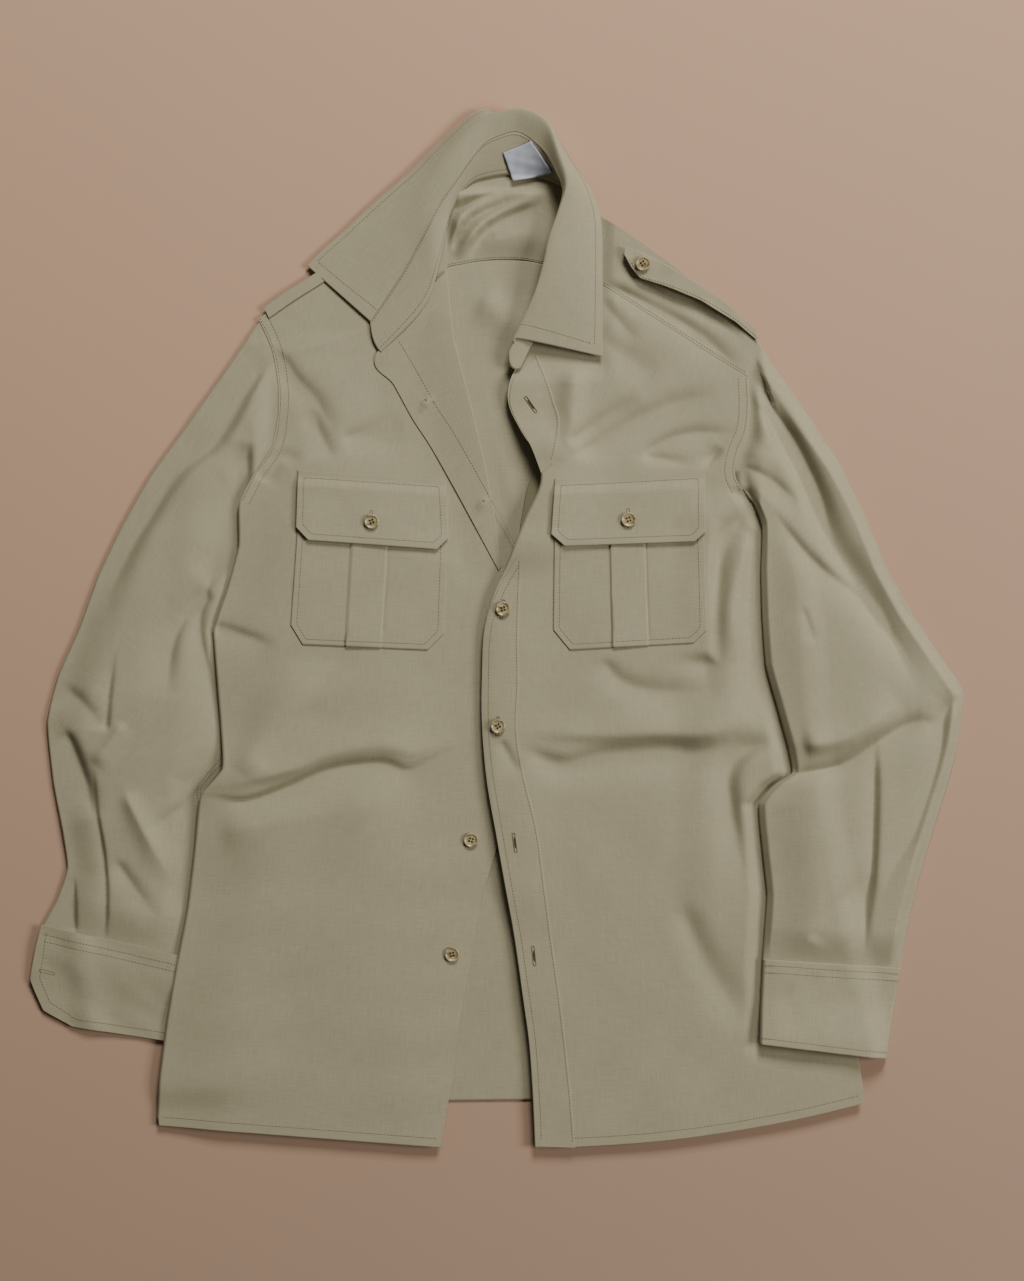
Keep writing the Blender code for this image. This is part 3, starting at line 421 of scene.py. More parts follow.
def noiseNode(tree, vector, scale, detail, stretch=(1, 1, 1)):
    # Noise of a given scale on coordinates that are stretched first
    mapping = tree.nodes.new("ShaderNodeMapping")
    mapping.inputs["Scale"].default_value = stretch
    link(tree, vector, mapping.inputs["Vector"])
    noise = tree.nodes.new("ShaderNodeTexNoise")
    noise.inputs["Scale"].default_value = scale
    noise.inputs["Detail"].default_value = detail
    noise.inputs["Roughness"].default_value = 0.5
    link(tree, mapping.outputs["Vector"], noise.inputs["Vector"])
    return noise.outputs["Fac"]


def colourBetween(tree, shader, shade, dark, light, places=(0.0, 1.0)):
    # Base colour from the dark to the light one as the shade goes from the first place to the second
    ramp = tree.nodes.new("ShaderNodeValToRGB")
    for element, place, colour in zip(ramp.color_ramp.elements, places, (dark, light)):
        element.position = place
        element.color = tuple(colour) + (1.0,)
    link(tree, shade, ramp.inputs["Fac"])
    link(tree, ramp.outputs["Color"], shader.inputs["Base Color"])


def makeWovenGroup():
    # Plain weave: two thread directions as waves, thick and thin threads as stretched noise, broad
    # cloudiness, and the shade and height that they add up to
    tree = bpy.data.node_groups.new("plainWeave", "ShaderNodeTree")
    tree.interface.new_socket(name="Place", in_out="INPUT", socket_type="NodeSocketVector")
    for name in ("Thread Scale", "Slub Strength", "Cloud Strength"):
        tree.interface.new_socket(name=name, in_out="INPUT", socket_type="NodeSocketFloat")
    for name in ("Shade", "Height"):
        tree.interface.new_socket(name=name, in_out="OUTPUT", socket_type="NodeSocketFloat")
    start = tree.nodes.new("NodeGroupInput")
    end = tree.nodes.new("NodeGroupOutput")
    place = start.outputs["Place"]
    waves = []
    for direction in ("X", "Y"):
        wave = tree.nodes.new("ShaderNodeTexWave")
        wave.wave_type = "BANDS"
        wave.bands_direction = direction
        wave.inputs["Distortion"].default_value = 0.6
        wave.inputs["Detail"].default_value = 1.0
        link(tree, start.outputs["Thread Scale"], wave.inputs["Scale"])
        link(tree, place, wave.inputs["Vector"])
        waves.append(wave.outputs["Fac"])
    weave = mathNode(tree, "MULTIPLY", waves[0], waves[1])
    warp = noiseNode(tree, place, 1.0, 3.0, (1500, 55, 1))
    weft = noiseNode(tree, place, 1.0, 3.0, (60, 1500, 1))
    cloud = mathNode(tree, "SUBTRACT", noiseNode(tree, place, 14.0, 4.0), 0.5)
    slub = mathNode(tree, "SUBTRACT", mathNode(tree, "ADD", warp, weft), 1.0)
    slub = mathNode(tree, "MULTIPLY", slub, start.outputs["Slub Strength"])
    shade = mathNode(tree, "ADD", slub, mathNode(tree, "MULTIPLY", cloud, start.outputs["Cloud Strength"]))
    woven = mathNode(tree, "MULTIPLY", mathNode(tree, "SUBTRACT", weave, 0.25), 0.04)
    shade = mathNode(tree, "ADD", shade, woven)
    link(tree, mathNode(tree, "ADD", shade, 0.5), end.inputs["Shade"])
    weave = mathNode(tree, "MULTIPLY", weave, 0.15)
    link(tree, mathNode(tree, "ADD", weave, mathNode(tree, "MULTIPLY", slub, 1.5)), end.inputs["Height"])
    return tree


wovenGroup = makeWovenGroup()


def clothMaterial(name, look):
    # Cotton: the weave's shade picks between a darker and a lighter khaki, its height goes to a bump
    material, tree, shader = newMaterial(name)
    place = tree.nodes.new("ShaderNodeUVMap")
    place.uv_map = "cut"
    weave = tree.nodes.new("ShaderNodeGroup")
    weave.node_tree = wovenGroup
    weave.inputs["Thread Scale"].default_value = look["threads"]
    weave.inputs["Slub Strength"].default_value = look["slub"]
    weave.inputs["Cloud Strength"].default_value = look["cloud"]
    link(tree, place.outputs["UV"], weave.inputs["Place"])
    colourBetween(tree, shader, weave.outputs["Shade"], look["dark"], look["light"])
    bump = tree.nodes.new("ShaderNodeBump")
    bump.inputs["Strength"].default_value = look["bump"]
    bump.inputs["Distance"].default_value = 0.0001
    link(tree, weave.outputs["Height"], bump.inputs["Height"])
    link(tree, bump.outputs["Normal"], shader.inputs["Normal"])
    shader.inputs["Roughness"].default_value = look["roughness"]
    shader.inputs["Specular IOR Level"].default_value = look["specular"]
    shader.inputs["Sheen Weight"].default_value = look["sheen"]
    shader.inputs["Sheen Roughness"].default_value = 0.45
    return material


khakiLook = {
    "dark": (0.225, 0.2, 0.122), "light": (0.425, 0.39, 0.258), "threads": 1400.0, "slub": 0.55,
    "cloud": 0.14, "bump": 0.35, "roughness": 0.82, "specular": 0.25, "sheen": 0.12,
}
# darker copy of the khaki: painted shade for the strip that lies under the right front's folded edge
paintedShadeLook = dict(khakiLook, dark=(0.17, 0.15, 0.085), light=(0.30, 0.27, 0.16))
labelLook = dict(khakiLook, dark=(0.30, 0.32, 0.37), light=(0.54, 0.56, 0.62), slub=0.25, cloud=0.5,
                 sheen=0.3, roughness=0.55)
khaki = clothMaterial("khakiCotton", khakiLook)
paintedShadeKhaki = clothMaterial("khakiPaintedShade", paintedShadeLook)
labelCloth = clothMaterial("labelSatin", labelLook)


def noisyMaterial(name, roughness, scale, detail, dark, light, stretch=(1, 1, 1), places=(0.0, 1.0)):
    # One noise on the object's coordinates picks between a dark and a light colour
    material, tree, shader = newMaterial(name)
    place = tree.nodes.new("ShaderNodeTexCoord")
    noise = noiseNode(tree, place.outputs["Object"], scale, detail, stretch)
    colourBetween(tree, shader, noise, dark, light, places)
    shader.inputs["Roughness"].default_value = roughness
    return material


def threadMaterial(name, colour, roughness):
    # Thread is a quarter lighter and darker along its length
    dark = tuple(0.75 * part for part in colour)
    light = tuple(1.25 * part for part in colour)
    return noisyMaterial(name, roughness, 900.0, 2.0, dark, light)


thread = threadMaterial("sewingThread", (0.20, 0.175, 0.105), 0.7)
buttonholeThread = threadMaterial("buttonholeThread", (0.30, 0.25, 0.15), 0.7)
# near-black: painted shade in the gap of each buttonhole's slit
slitPaintedShade = threadMaterial("buttonholeSlit", (0.05, 0.028, 0.016), 0.9)
# polished horn-coloured plastic, with soft streaks of cream and olive
hornButton = noisyMaterial("creamHornButton", 0.28, 160.0, 4.0, (0.17, 0.125, 0.05), (0.48, 0.41, 0.23),
                           (1, 3, 1), (0.32, 0.68))
hornButton.node_tree.nodes["Principled BSDF"].inputs["Coat Weight"].default_value = 0.25
print("materials done")


leftFrontRows = (
    # left x, left y, right x, right y, shoulder to hem
    (-201, 262, -38, 366), (-189, 235, -43, 332), (-184, 206, -42, 298), (-184, 181, -40, 265),
    (-189, 154, -34, 234), (-203, 133, -27, 206), (-215, 109, -20, 178), (-215, 71, -11, 136),
    (-225, 34, -3, 97), (-236, 0, 2, 63), (-233, -42, 9, 17), (-230, -80, 12, -34),
    (-228, -116, 11, -88), (-247, -140, 7, -134), (-252, -185, 0, -181), (-258, -235, -15, -231),
    (-267, -281, -23, -280), (-275, -328, -32, -329), (-281, -374, -39, -382), (-284, -416, -48, -434),
)
rightFrontRows = (
    (54, 312, 210, 212), (49, 290, 211, 189), (40, 265, 209, 168), (27, 239, 202, 150),
    (12, 213, 199, 132), (9, 191, 205, 118), (19, 168, 221, 98), (34, 143, 232, 71),
    (38, 122, 238, 46), (25, 92, 241, 17), (14, 65, 244, -13), (-2, 32, 245, -46),
    (-11, 0, 249, -80), (-13, -38, 253, -113), (-13, -80, 258, -151), (-9, -126, 265, -189),
    (-1, -172, 273, -227), (7, -217, 281, -265), (15, -260, 289, -298), (21, -305, 297, -332),
    (27, -349, 303, -363), (30, -391, 306, -382), (32, -434, 306, -397),
)
rightHemBow = 9.0
rightYokeRows = ((58, 364, 218, 245), (57, 338, 214, 229), (54, 312.2, 210.1, 212.2))
yokeRows = (
    # top x, top y, lower seam x, lower seam y, left shoulder to right
    (-198, 259, -183, 217), (-150, 293, -142, 246), (-95, 329, -92, 279), (-52, 360, -48, 303),
    (-30, 376, -30, 308), (-8, 385, -12, 311), (14, 388, 8, 312), (42, 384, 30, 310),
    (68, 362, 56, 302), (108, 326, 100, 276), (160, 288, 152, 242), (217, 245, 210, 205),
)
backRows = (
    (-182, 215, 208, 203), (-181, 181, 208, 168), (-186, 154, 200, 147), (-197, 131, 199, 130),
    (-211, 108, 204, 114), (-215, 71, 213, 97), (-225, 34, 224, 62), (-236, 0, 235, 15),
    (-233, -42, 242, -30), (-230, -80, 249, -80), (-228, -116, 253, -113), (-247, -140, 257, -145),
    (-252, -185, 264, -185), (-258, -235, 275, -235), (-267, -281, 284, -281), (-275, -328, 295, -326),
    (-281, -372, 303, -362), (-284, -399, 306, -392),
)
lapelRows = (
    # band edge x, y, roll line x, y
    (-53, 291, -43, 301), (-102, 231, -38, 250), (-87, 206, -33, 228), (-71, 177, -25, 197),
    (-56, 154, -19, 172), (-35, 117, -10, 133), (-15, 80, -3, 95), (1, 50, 3.5, 54),
)
neckSeamPath = ((-98.7, 229.3), (-77.7, 247.8), (-65.1, 262.1), (-55, 277.2), (-47.5, 292.3))
leftSleeveRows = (
    # outer edge x, y, inner edge x, y, armhole to cuff
    (-201, 262, -195, 113), (-231, 217, -208, 74), (-262, 172, -212, 32), (-292, 130, -217, -2),
    (-317, 86, -220, -34), (-336, 46, -221, -62), (-352, 2, -220, -86), (-370, -39, -222, -108),
    (-379, -77, -245, -135), (-374, -128, -241, -163), (-366, -170, -243, -194), (-362, -200, -247, -227),
    (-371, -227, -250, -254), (-383, -249, -254, -277),
)
leftArmholePath = ((-201, 262), (-189, 235), (-184, 206), (-184, 181), (-189, 154), (-194, 134), (-195, 113))
rightSleeveRows = (
    (218, 245, 205, 119), (254, 193, 216, 104), (286, 144, 222, 86), (309, 97, 221, 48),
    (326, 55, 222, 10), (348, 15, 225, -30), (372, -21, 235, -66), (392, -52, 244, -99),
    (388, -92, 247, -120), (382, -118, 232, -130), (372, -151, 219, -146), (359, -193, 222, -183),
    (348, -235, 226, -221), (342, -264, 224, -252), (339, -286, 222, -278),
)
leftCuffRows = (
    (-382.8, -247.3, -257.6, -275.2), (-388, -268, -257.5, -297), (-392.7, -294, -258, -320),
    (-381.8, -319.5, -258, -340), (-357.5, -333, -258, -348.5),
)
rightCuffRows = (
    (339.6, -283.6, 222.3, -275.6), (334.4, -311, 221, -301.5), (330.7, -335, 220, -324),
    (327, -359, 219, -346),
)
collarRows = (
    # neck seam x, y, z; stand and leaf seam x, y, z; turn of the leaf x, y, z; free edge x, y, z
    (-98, 233, 5.7, -107, 259, 5.7, -134, 283, 5.4, -160, 306, 4.2),
    (-80, 250, 6.8, -92, 281, 6.4, -118, 299, 5.9, -146, 320, 4.0),
    (-66, 265, 7.5, -79, 301, 7.7, -103, 316, 6.8, -131, 333, 4.0),
    (-56, 281, 8.3, -68, 321, 9.6, -87, 336, 8.2, -113, 350, 4.2),
    (-50, 302, 9.0, -57, 341, 12.5, -74, 354, 9.8, -95, 366, 4.6),
    (-44, 328, 8.0, -47, 359, 12.8, -58, 374, 12.5, -72, 386, 5.2),
    (-38, 352, 6.0, -34, 377, 13.6, -40, 397, 14.5, -48, 409, 5.6),
    (-24, 374, 4.2, -14, 404, 13.6, -12, 425, 15.0, -14, 437, 7.0),
    (-6, 380.5, 4.0, 3, 414, 13.6, 6, 434, 16.4, 10, 426, 2.6),
    (14, 382.5, 4.0, 19, 416, 14.2, 22, 435, 17.6, 24, 424, 2.6),
    (38, 379, 4.2, 37, 402, 16.4, 41, 425, 20.4, 47, 415, 3.2),
    (58, 368, 6.0, 48, 384, 21.0, 52, 399, 25.0, 64, 391, 5.0),
    (66, 346, 8.0, 54, 366, 22.0, 60, 374, 26.0, 79, 368, 8.0),
    (61, 324, 8.4, 49, 345, 21.0, 56, 353, 25.0, 87, 342, 8.4),
    (55, 303, 8.4, 42, 322, 19.0, 48, 329, 23.0, 88, 308, 9.2),
    (48, 282, 8.4, 37, 298, 17.0, 43, 304, 20.5, 88, 281, 9.2),
    (37, 258, 8.4, 29, 272, 14.5, 35, 277, 17.5, 88, 254, 9.2),
    (22, 226, 8.4, 13, 240, 12.0, 20, 243, 14.0, 88, 229, 9.2),
)

labelCorners = ((4.6, 399.6), (28.1, 408.4), (45.8, 382.2), (13.0, 377.0))

# Folds: path, height at its start and end, width of its left and right slope, sharpness
leftFrontFolds = (
    (((-178, 273), (-189, 239)), -2.5, -2.0, 8, 10, 0.3),
    (((-187, 235), (-170, 210), (-153, 193), (-132, 161)), -3.4, -1.8, 9, 10, 0.4),
    (((-159, 186), (-136, 139)), -2.4, -1.2, 8, 9, 0.3),
    (((-132, 160), (-105, 168), (-78, 170)), -1.5, -2.6, 9, 10, 0.4),
    (((-201, 126), (-187, 143), (-162, 144)), -3.6, -1.8, 8, 10, 0.4),
    (((-237, 4), (-212, -4), (-183, -15)), -3.0, -0.8, 5, 10, 0.5),
    (((-216, -122), (-195, -88), (-166, -50), (-141, -17)), 2.6, 0.8, 16, 19, 0.0),
    (((-200, -118), (-170, -80), (-140, -56)), -0.9, -0.5, 9, 12, 0.3),
    (
        ((-240, -139), (-212, -143), (-174, -130), (-141, -116), (-99, -111), (-74, -118), (-48, -105),
         (-15, -94)),
        -3.0, -1.8, 5, 14, 0.4,
    ),
    (((-226, -130), (-174, -117), (-141, -104), (-99, -97), (-65, -101), (-23, -84)), 2.4, 1.8, 12, 10, 0.1),
    (((-237, -170), (-150, -156), (-65, -143)), 2.6, 1.2, 18, 24, 0.0),
    (((-36, 109), (-15, 34)), -1.6, -0.8, 12, 14, 0.0),
)
rightFrontFolds = (
    (((88, 292), (128, 273), (170, 248), (208, 214)), -2.5, -3.5, 8, 11, 0.3),
    (((86, 277), (120, 239)), -2.2, -1.0, 9, 10, 0.3),
    (((110, 300), (140, 281), (172, 268), (212, 238)), -2.6, -2.2, 5, 7, 0.3),
    (((86, 244), (137, 210)), -2.2, -1.2, 11, 13, 0.0),
    (((58, 155), (86, 176), (120, 197)), -3.2, -1.8, 9, 10, 0.3),
    (((53, 139), (103, 168), (145, 189), (187, 200)), -4.0, -2.4, 10, 11, 0.3),
    (((120, 147), (145, 161), (170, 166), (204, 164)), -3.0, -2.0, 8, 9, 0.4),
    (((120, 147), (153, 139), (166, 130)), -2.0, -1.2, 8, 9, 0.3),
    (((189, 154), (174, 134), (175, 109), (180, 84)), -3.2, -2.0, 7, 9, 0.3),
    (((224, 116), (196, 84), (184, 56), (178, 25), (174, -8), (176, -40), (184, -70)),
     -6.4, -5.4, 17, 11, 0.1),
    (((214, 84), (204, 50), (196, 14), (200, -30)), 3.2, 3.0, 10, 10, 0.0),
    (((212, 100), (211, 60), (212, 8), (222, -59), (238, -112)), -4.4, -5.0, 8, 14, 0.0),
    (((86, -21), (103, -42), (137, -52), (195, -50)), -1.6, -3.2, 11, 11, 0.2),
    (((14, -97), (53, -113), (86, -107), (128, -102), (170, -102), (224, -88)), -3.2, -4.8, 11, 13, 0.1),
    (((20, -86), (86, -88), (128, -86), (178, -86), (216, -71)), 1.4, 3.4, 12, 10, 0.1),
    (((232, -92), (208, -102), (195, -122), (196, -150), (202, -185), (212, -240)), -5.0, -3.4, 10, 12, 0.1),
    (((153, -227), (170, -269), (195, -311), (212, -336)), -2.4, -2.0, 13, 13, 0.0),
    (((64, 228), (63, 193), (58, 155), (51, 130)), 3.2, 4.2, 11, 15, 0.0),
)
placketFolds = ((((2, -92), (19, -122)), -1.2, -1.2, 6, 6, 0.3),)
backFolds = (
    (((-16, 280), (8, 262), (30, 240)), 3.0, 1.0, 13, 15, 0.0),
    (((-28, 190), (-10, 130), (8, 80)), 2.2, 1.5, 14, 14, 0.0),
)
yokeFolds = (
    (((-45, 326), (-41, 349), (-10, 364), (26, 374)), -6.4, -3.0, 5, 6, 0.1),
    (((-40, 316), (-20, 346), (30, 367)), -5.0, -3.4, 5, 6, 0.1),
    (((-26, 306), (-6, 338), (46, 362)), -3.4, -4.4, 6, 7, 0.1),
    (((-43, 320), (-28, 350), (6, 369)), 1.6, 2.4, 5, 5, 0.1),
    (((-35, 310), (-12, 342), (34, 364)), 2.2, 2.2, 6, 5, 0.1),
)
lapelFolds = (
    (((-62, 192), (-58, 188)), 1.2, 1.2, 7, 7, 0.0),
    (((-14, 108), (-10, 104)), 1.2, 1.2, 7, 7, 0.0),
)
leftSleeveFolds = (
    (((-193, 239), (-198, 223), (-233, 160), (-267, 133), (-292, 97), (-317, 50), (-334, 8)),
     -4.6, -3.2, 8, 15, 0.2),
    (((-208, 160), (-216, 109), (-225, 59), (-246, 34)), -6.2, -5.0, 9, 13, 0.1),
    (((-236, 30), (-262, 10), (-274, -20), (-277, -60)), -4.0, -2.6, 8, 14, 0.3),
    (((-228, 62), (-243, 36), (-250, 0), (-238, -50), (-226, -98)), -3.0, -4.4, 7, 8, 0.3),
    (((-319.6, -14), (-324, -50), (-327, -86)), -1.2, -2.0, 1.4, 12, 0.8),
    (((-364, -84), (-350, -116), (-338, -160)), -3.0, -4.4, 9, 10, 0.3),
    (((-338, -112), (-337, -143), (-330, -186), (-327, -227), (-330.5, -268)), -2.6, -1.4, 1.5, 16, 0.8),
    (((-250, -146), (-260, -190), (-272, -240)), -3.4, -3.0, 13, 14, 0.0),
    (((-313, -77), (-327, -98), (-339, -113)), 1.4, 2.0, 7, 8, 0.2),
    (((-313, -134), (-292, -176), (-268, -219)), 2.4, 2.4, 8, 13, 0.3),
    (((-246, -134), (-270, -152), (-295, -171)), -3.4, -1.6, 10, 8, 0.5),
    (((-321, -192), (-300, -222), (-282, -246)), -1.8, -1.0, 9, 9, 0.2),
    (((-356, -206), (-355, -230), (-354, -254)), -3.0, -2.6, 1.4, 26, 0.8),
    (((-376, -50), (-352, -57), (-330, -84)), -1.8, -1.8, 8, 11, 0.3),
)
rightSleeveFolds = (
    (((212, 220), (232, 180), (258, 126), (279, 76), (313, 25), (342, -17), (372, -66)),
     -5.6, -6.0, 13, 8, 0.0),
    (((214, 189), (246, 160), (271, 109), (279, 71)), -3.6, -2.0, 10, 12, 0.2),
    (((201, 139), (229, 126), (258, 101)), -1.6, -1.2, 6, 8, 0.3),
    (((229, 101), (263, 59), (305, 25), (330, -8), (359, -67)), -2.6, -3.2, 8, 11, 0.3),
    (((240, -122), (288, -113), (321, -92), (351, -77), (376, -82)), -3.4, -4.4, 10, 9, 0.4),
    (((254, -97), (296, -88), (338, -59)), 4.0, 3.0, 13, 10, 0.0),
    (((388, -55), (376, -71), (370, -109), (351, -168), (330, -202), (311, -252)), -4.6, -3.0, 10, 13, 0.3),
    (((317, -97), (317, -143), (315, -202), (310, -235), (306, -281)), -2.4, -5.0, 4, 10, 0.6),
    (((262, -262), (281, -235), (313, -203)), -1.6, -1.8, 10, 11, 0.1),
    (((255, 19), (266, -13)), -1.0, -1.0, 5, 6, 0.4),
)

pockets = {
    "left": {
        "flap": ((-167, 133.5), (-43.5, 125.5), (-41, 77.5), (-51, 67.5), (-158, 75), (-168.5, 86)),
        "bag": ((-165, 118), (-41, 110), (-45, -3), (-59, -17), (-163, -12.5), (-173, 4)),
        "pleat": ((-123, 72), (-92, 72), (-97, -15), (-128, -15)),
        "button": (-105.4, 90.7),
    },
    "right": {
        "flap": ((48, 126), (174, 133), (174, 82.5), (165, 74), (56.5, 70), (45, 80)),
        "bag": ((48, 110), (172, 116), (175, 0), (164, -11), (61, -17), (47, 0)),
        "pleat": ((94, 72), (124, 74), (127, -14), (96, -14)),
        "button": (109.6, 92.4),
    },
}
placketRows = (
    # free edge x, y, inner edge x, y
    (17.5, 62, 20, 63), (8, 47, 19.5, 47), (0.2, 32, 18.5, 30), (-8, 10, 18, 8), (-11.4, -10, 17.5, -14),
    (-12.3, -40, 18, -42), (-12.3, -80, 16.5, -84), (-9.5, -115, 22, -120), (-1.5, -165, 33.5, -168),
    (6.6, -212, 40, -216), (14.5, -256, 46, -262), (21, -301, 52.5, -308), (27, -345, 57.5, -350),
    (30.2, -389, 62, -394), (32.2, -433, 65, -434),
)
upperPlacketRows = (
    (13, 210, 33, 231), (10, 192, 40, 214), (16, 175, 47, 193), (27.5, 154, 52, 172),
    (36.5, 131, 46, 139),
)
turnUnderRows = (
    # boundary of the turned-under strip x, y, then under the front's folded edge x, y
    (34, 138, 43, 139), (25.6, 122, 46, 124), (21.4, 101, 40, 104), (18, 80, 32, 82), (14, 61, 24, 62),
)
rightEpauletteRows = (
    # shoulder edge x, y, front edge x, y
    (107, 321, 106, 314), (112, 319, 112, 303), (120, 316, 119.7, 294), (138, 307, 139, 288),
    (170, 288, 170, 275.5), (200, 267, 199, 258), (216, 252, 217.5, 242.5),
)
leftEpauletteRows = (
    (-196, 271, -192, 262), (-176, 285, -172, 276), (-154, 299, -150, 290),
    (-132, 313, -128, 304),
)


def pocketQuiet(x, y, margin):
    # 1 over either pocket's bag and flap, easing to 0 over the margin round them
    mask = np.zeros(x.shape)
    for pocket in pockets.values():
        corners = np.array(pocket["flap"] + pocket["bag"])
        low = corners.min(axis=0)
        high = corners.max(axis=0)
        reach = np.minimum(np.minimum(x - low[0], high[0] - x), np.minimum(y - low[1], high[1] - y))
        mask = np.maximum(mask, ease((reach + margin) / margin))
    return mask


def tuckLift(x, y):
    # Rise of the body's left margin over the left sleeve, highest at the body's outer corner
    reach = x - edgeAt(leftFrontRows, y, 0)
    length = ease((165 - y) / 32) * ease((y + 405) / 24)
    corner = 5.0 * np.exp(-((y + 122) / 24) ** 2) * ease((70 - reach) / 70)
    return 2.8 * length * ease((110 - reach) / 85) + corner


def leftFrontTop(x, y):
    # Lowest height, the rise over the sleeve, and a swell with folds, which both die out beside the right
    # front in the lower stretch, beside the lapel in the upper one, and at the shoulder
    folds = foldHeight(x, y, leftFrontFolds) * (1 - 0.9 * pocketQuiet(x, y, 16))
    folds = folds + unevenness(x, y, 3, 130, 0.35)
    frontReach = x - edgeAt(rightFrontRows, y, 0)
    bandReach = x - edgeAt(lapelRows[1:], y, 0)
    low = ease((86 - y) / 24)
    high = ease((y - 30) / 26)
    shoulder = ease((y - 225) / 30)

    def faded(front, band):
        below = ease((frontReach + front) / front) * low
        beside = ease((bandReach + band) / band) * high
        return np.maximum(np.maximum(below, beside), shoulder)

    swell = 2.4 + 3.2 * ease((x - edgeAt(leftFrontRows, y, 0)) / 60)
    height = aboveZero(swell * (1 - faded(120, 95)) + folds * (1 - faded(18, 20)), 1.0)
    return cloth["frontLowest"] + tuckLift(x, y) + height


def rightFrontTop(x, y):
    # Lowest height, the lap over the left front, and a swell with a lip at the open edge and folds, which
    # all die out under the sleeve and under the collar
    folds = foldHeight(x, y, rightFrontFolds) * (1 - 0.9 * pocketQuiet(x, y, 14))
    sleeve = edgeAt(rightSleeveRows, y, 2)
    covered = ease((x - sleeve + 16) / 14) * ease((122 - y) / 12) * ease((y + 366) / 30)
    neck = ease((y - 205) / 25) * ease((100 - x) / 16)
    quiet = np.maximum(covered, neck)
    openEdge = 7.0 * ease((190 - y) / 40) * ease((y - 40) / 40)
    edgeReach = x - edgeAt(rightFrontRows, y, 0)
    folds = folds * (0.35 + 0.65 * ease((edgeReach - 25) / 25))
    folds = folds + foldHeight(x, y, placketFolds) + unevenness(x, y, 5, 130, 0.35)
    lip = openEdge * ease((70 - edgeReach) / 60)
    overlap = 1.8 * ease((60 - edgeReach) / 40) * ease((90 - y) / 30) * ease((y + 260) / 50)
    swell = 5.2 * ease((x + 40) / 40)
    swell = swell + 4.0 * ease((x - 145) / 40) * ease((122 - y) / 30) * ease((y + 310) / 70)
    return cloth["frontLowest"] + overlap + aboveZero((swell + lip + folds) * (1 - quiet))


def rightSleeveBottom(x, y):
    # On the body, then down to the floor beyond its edge
    beyond = x - edgeAt(rightFrontRows, y, 2) - 8
    return (5.0 + 5.0 * ease((-306 - y) / 44)) * ease((26 - beyond) / 26)


def backTop(x, y):
    # Close to the floor, lifted with the body's margin, with folds where the neck leaves it bare
    left = edgeAt(leftFrontRows, y, 2)
    right = edgeAt(rightFrontRows, y, 0)
    shown = ease((x - left - 8) / 14) * ease((right - 2 - x) / 14) * ease((y - 90) / 30)
    return 1.2 + tuckLift(x, y) + shown * aboveZero(foldHeight(x, y, backFolds), 0.2)


def yokeTop(x, y):
    # Close to the floor, swelling into folds inside the neck
    shown = ease((x + 43) / 12) * ease((50 - x) / 30) * ease((373 - y) / 8) * ease((y - 308) / 26)
    return 1.75 + shown * aboveZero(6.6 + foldHeight(x, y, yokeFolds), 0.4)


def lapelTop(x, y):
    # On the left front, rising towards its roll line and tucked in under the collar's stand
    roll = edgeAt(leftFrontRows, y, 2)
    rise = 4.0 * ease((x - roll + 44) / 48) * ease((y - 60) / 150) * (1 - 0.56 * ease((y - 255) / 40))
    seam, along = pathDistance(x, y, neckSeamPath, 12)
    tucked = np.maximum(0.8 + 2.2 * along - rise, 0) * ease(1 - np.abs(seam) / 14)
    return cloth["frontLowest"] + 1.4 + rise + tucked + foldHeight(x, y, lapelFolds)


def heightAt(top, spot):
    return float(top(np.array([spot[0]]), np.array([spot[1]]))[0])


def addSheet(name, node, grid, wall, paths=(), top=None, lines=(),
             sewn="", material=khaki, around=False):
    # One piece of cloth: its closed wall, its stitches along paths on a surface of heights or along lines
    # of points and normals, and the solid that it stands for, which it hides
    item = closedSheet(name, grid, wall, material, around)
    lines = [onSurface(path, top) for path in paths] + list(lines)
    stitches = [stitchRows(sewn or name + "Stitches", lines, thread)] if lines else []
    if node:
        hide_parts(node)


def frontPaths(plan, armhole, insets):
    # Two rows beside the armhole and one above the hem
    return [offsetPath(armhole, inset) for inset in insets] + [plan[-1, 3:-3] + (0, 7.5)]


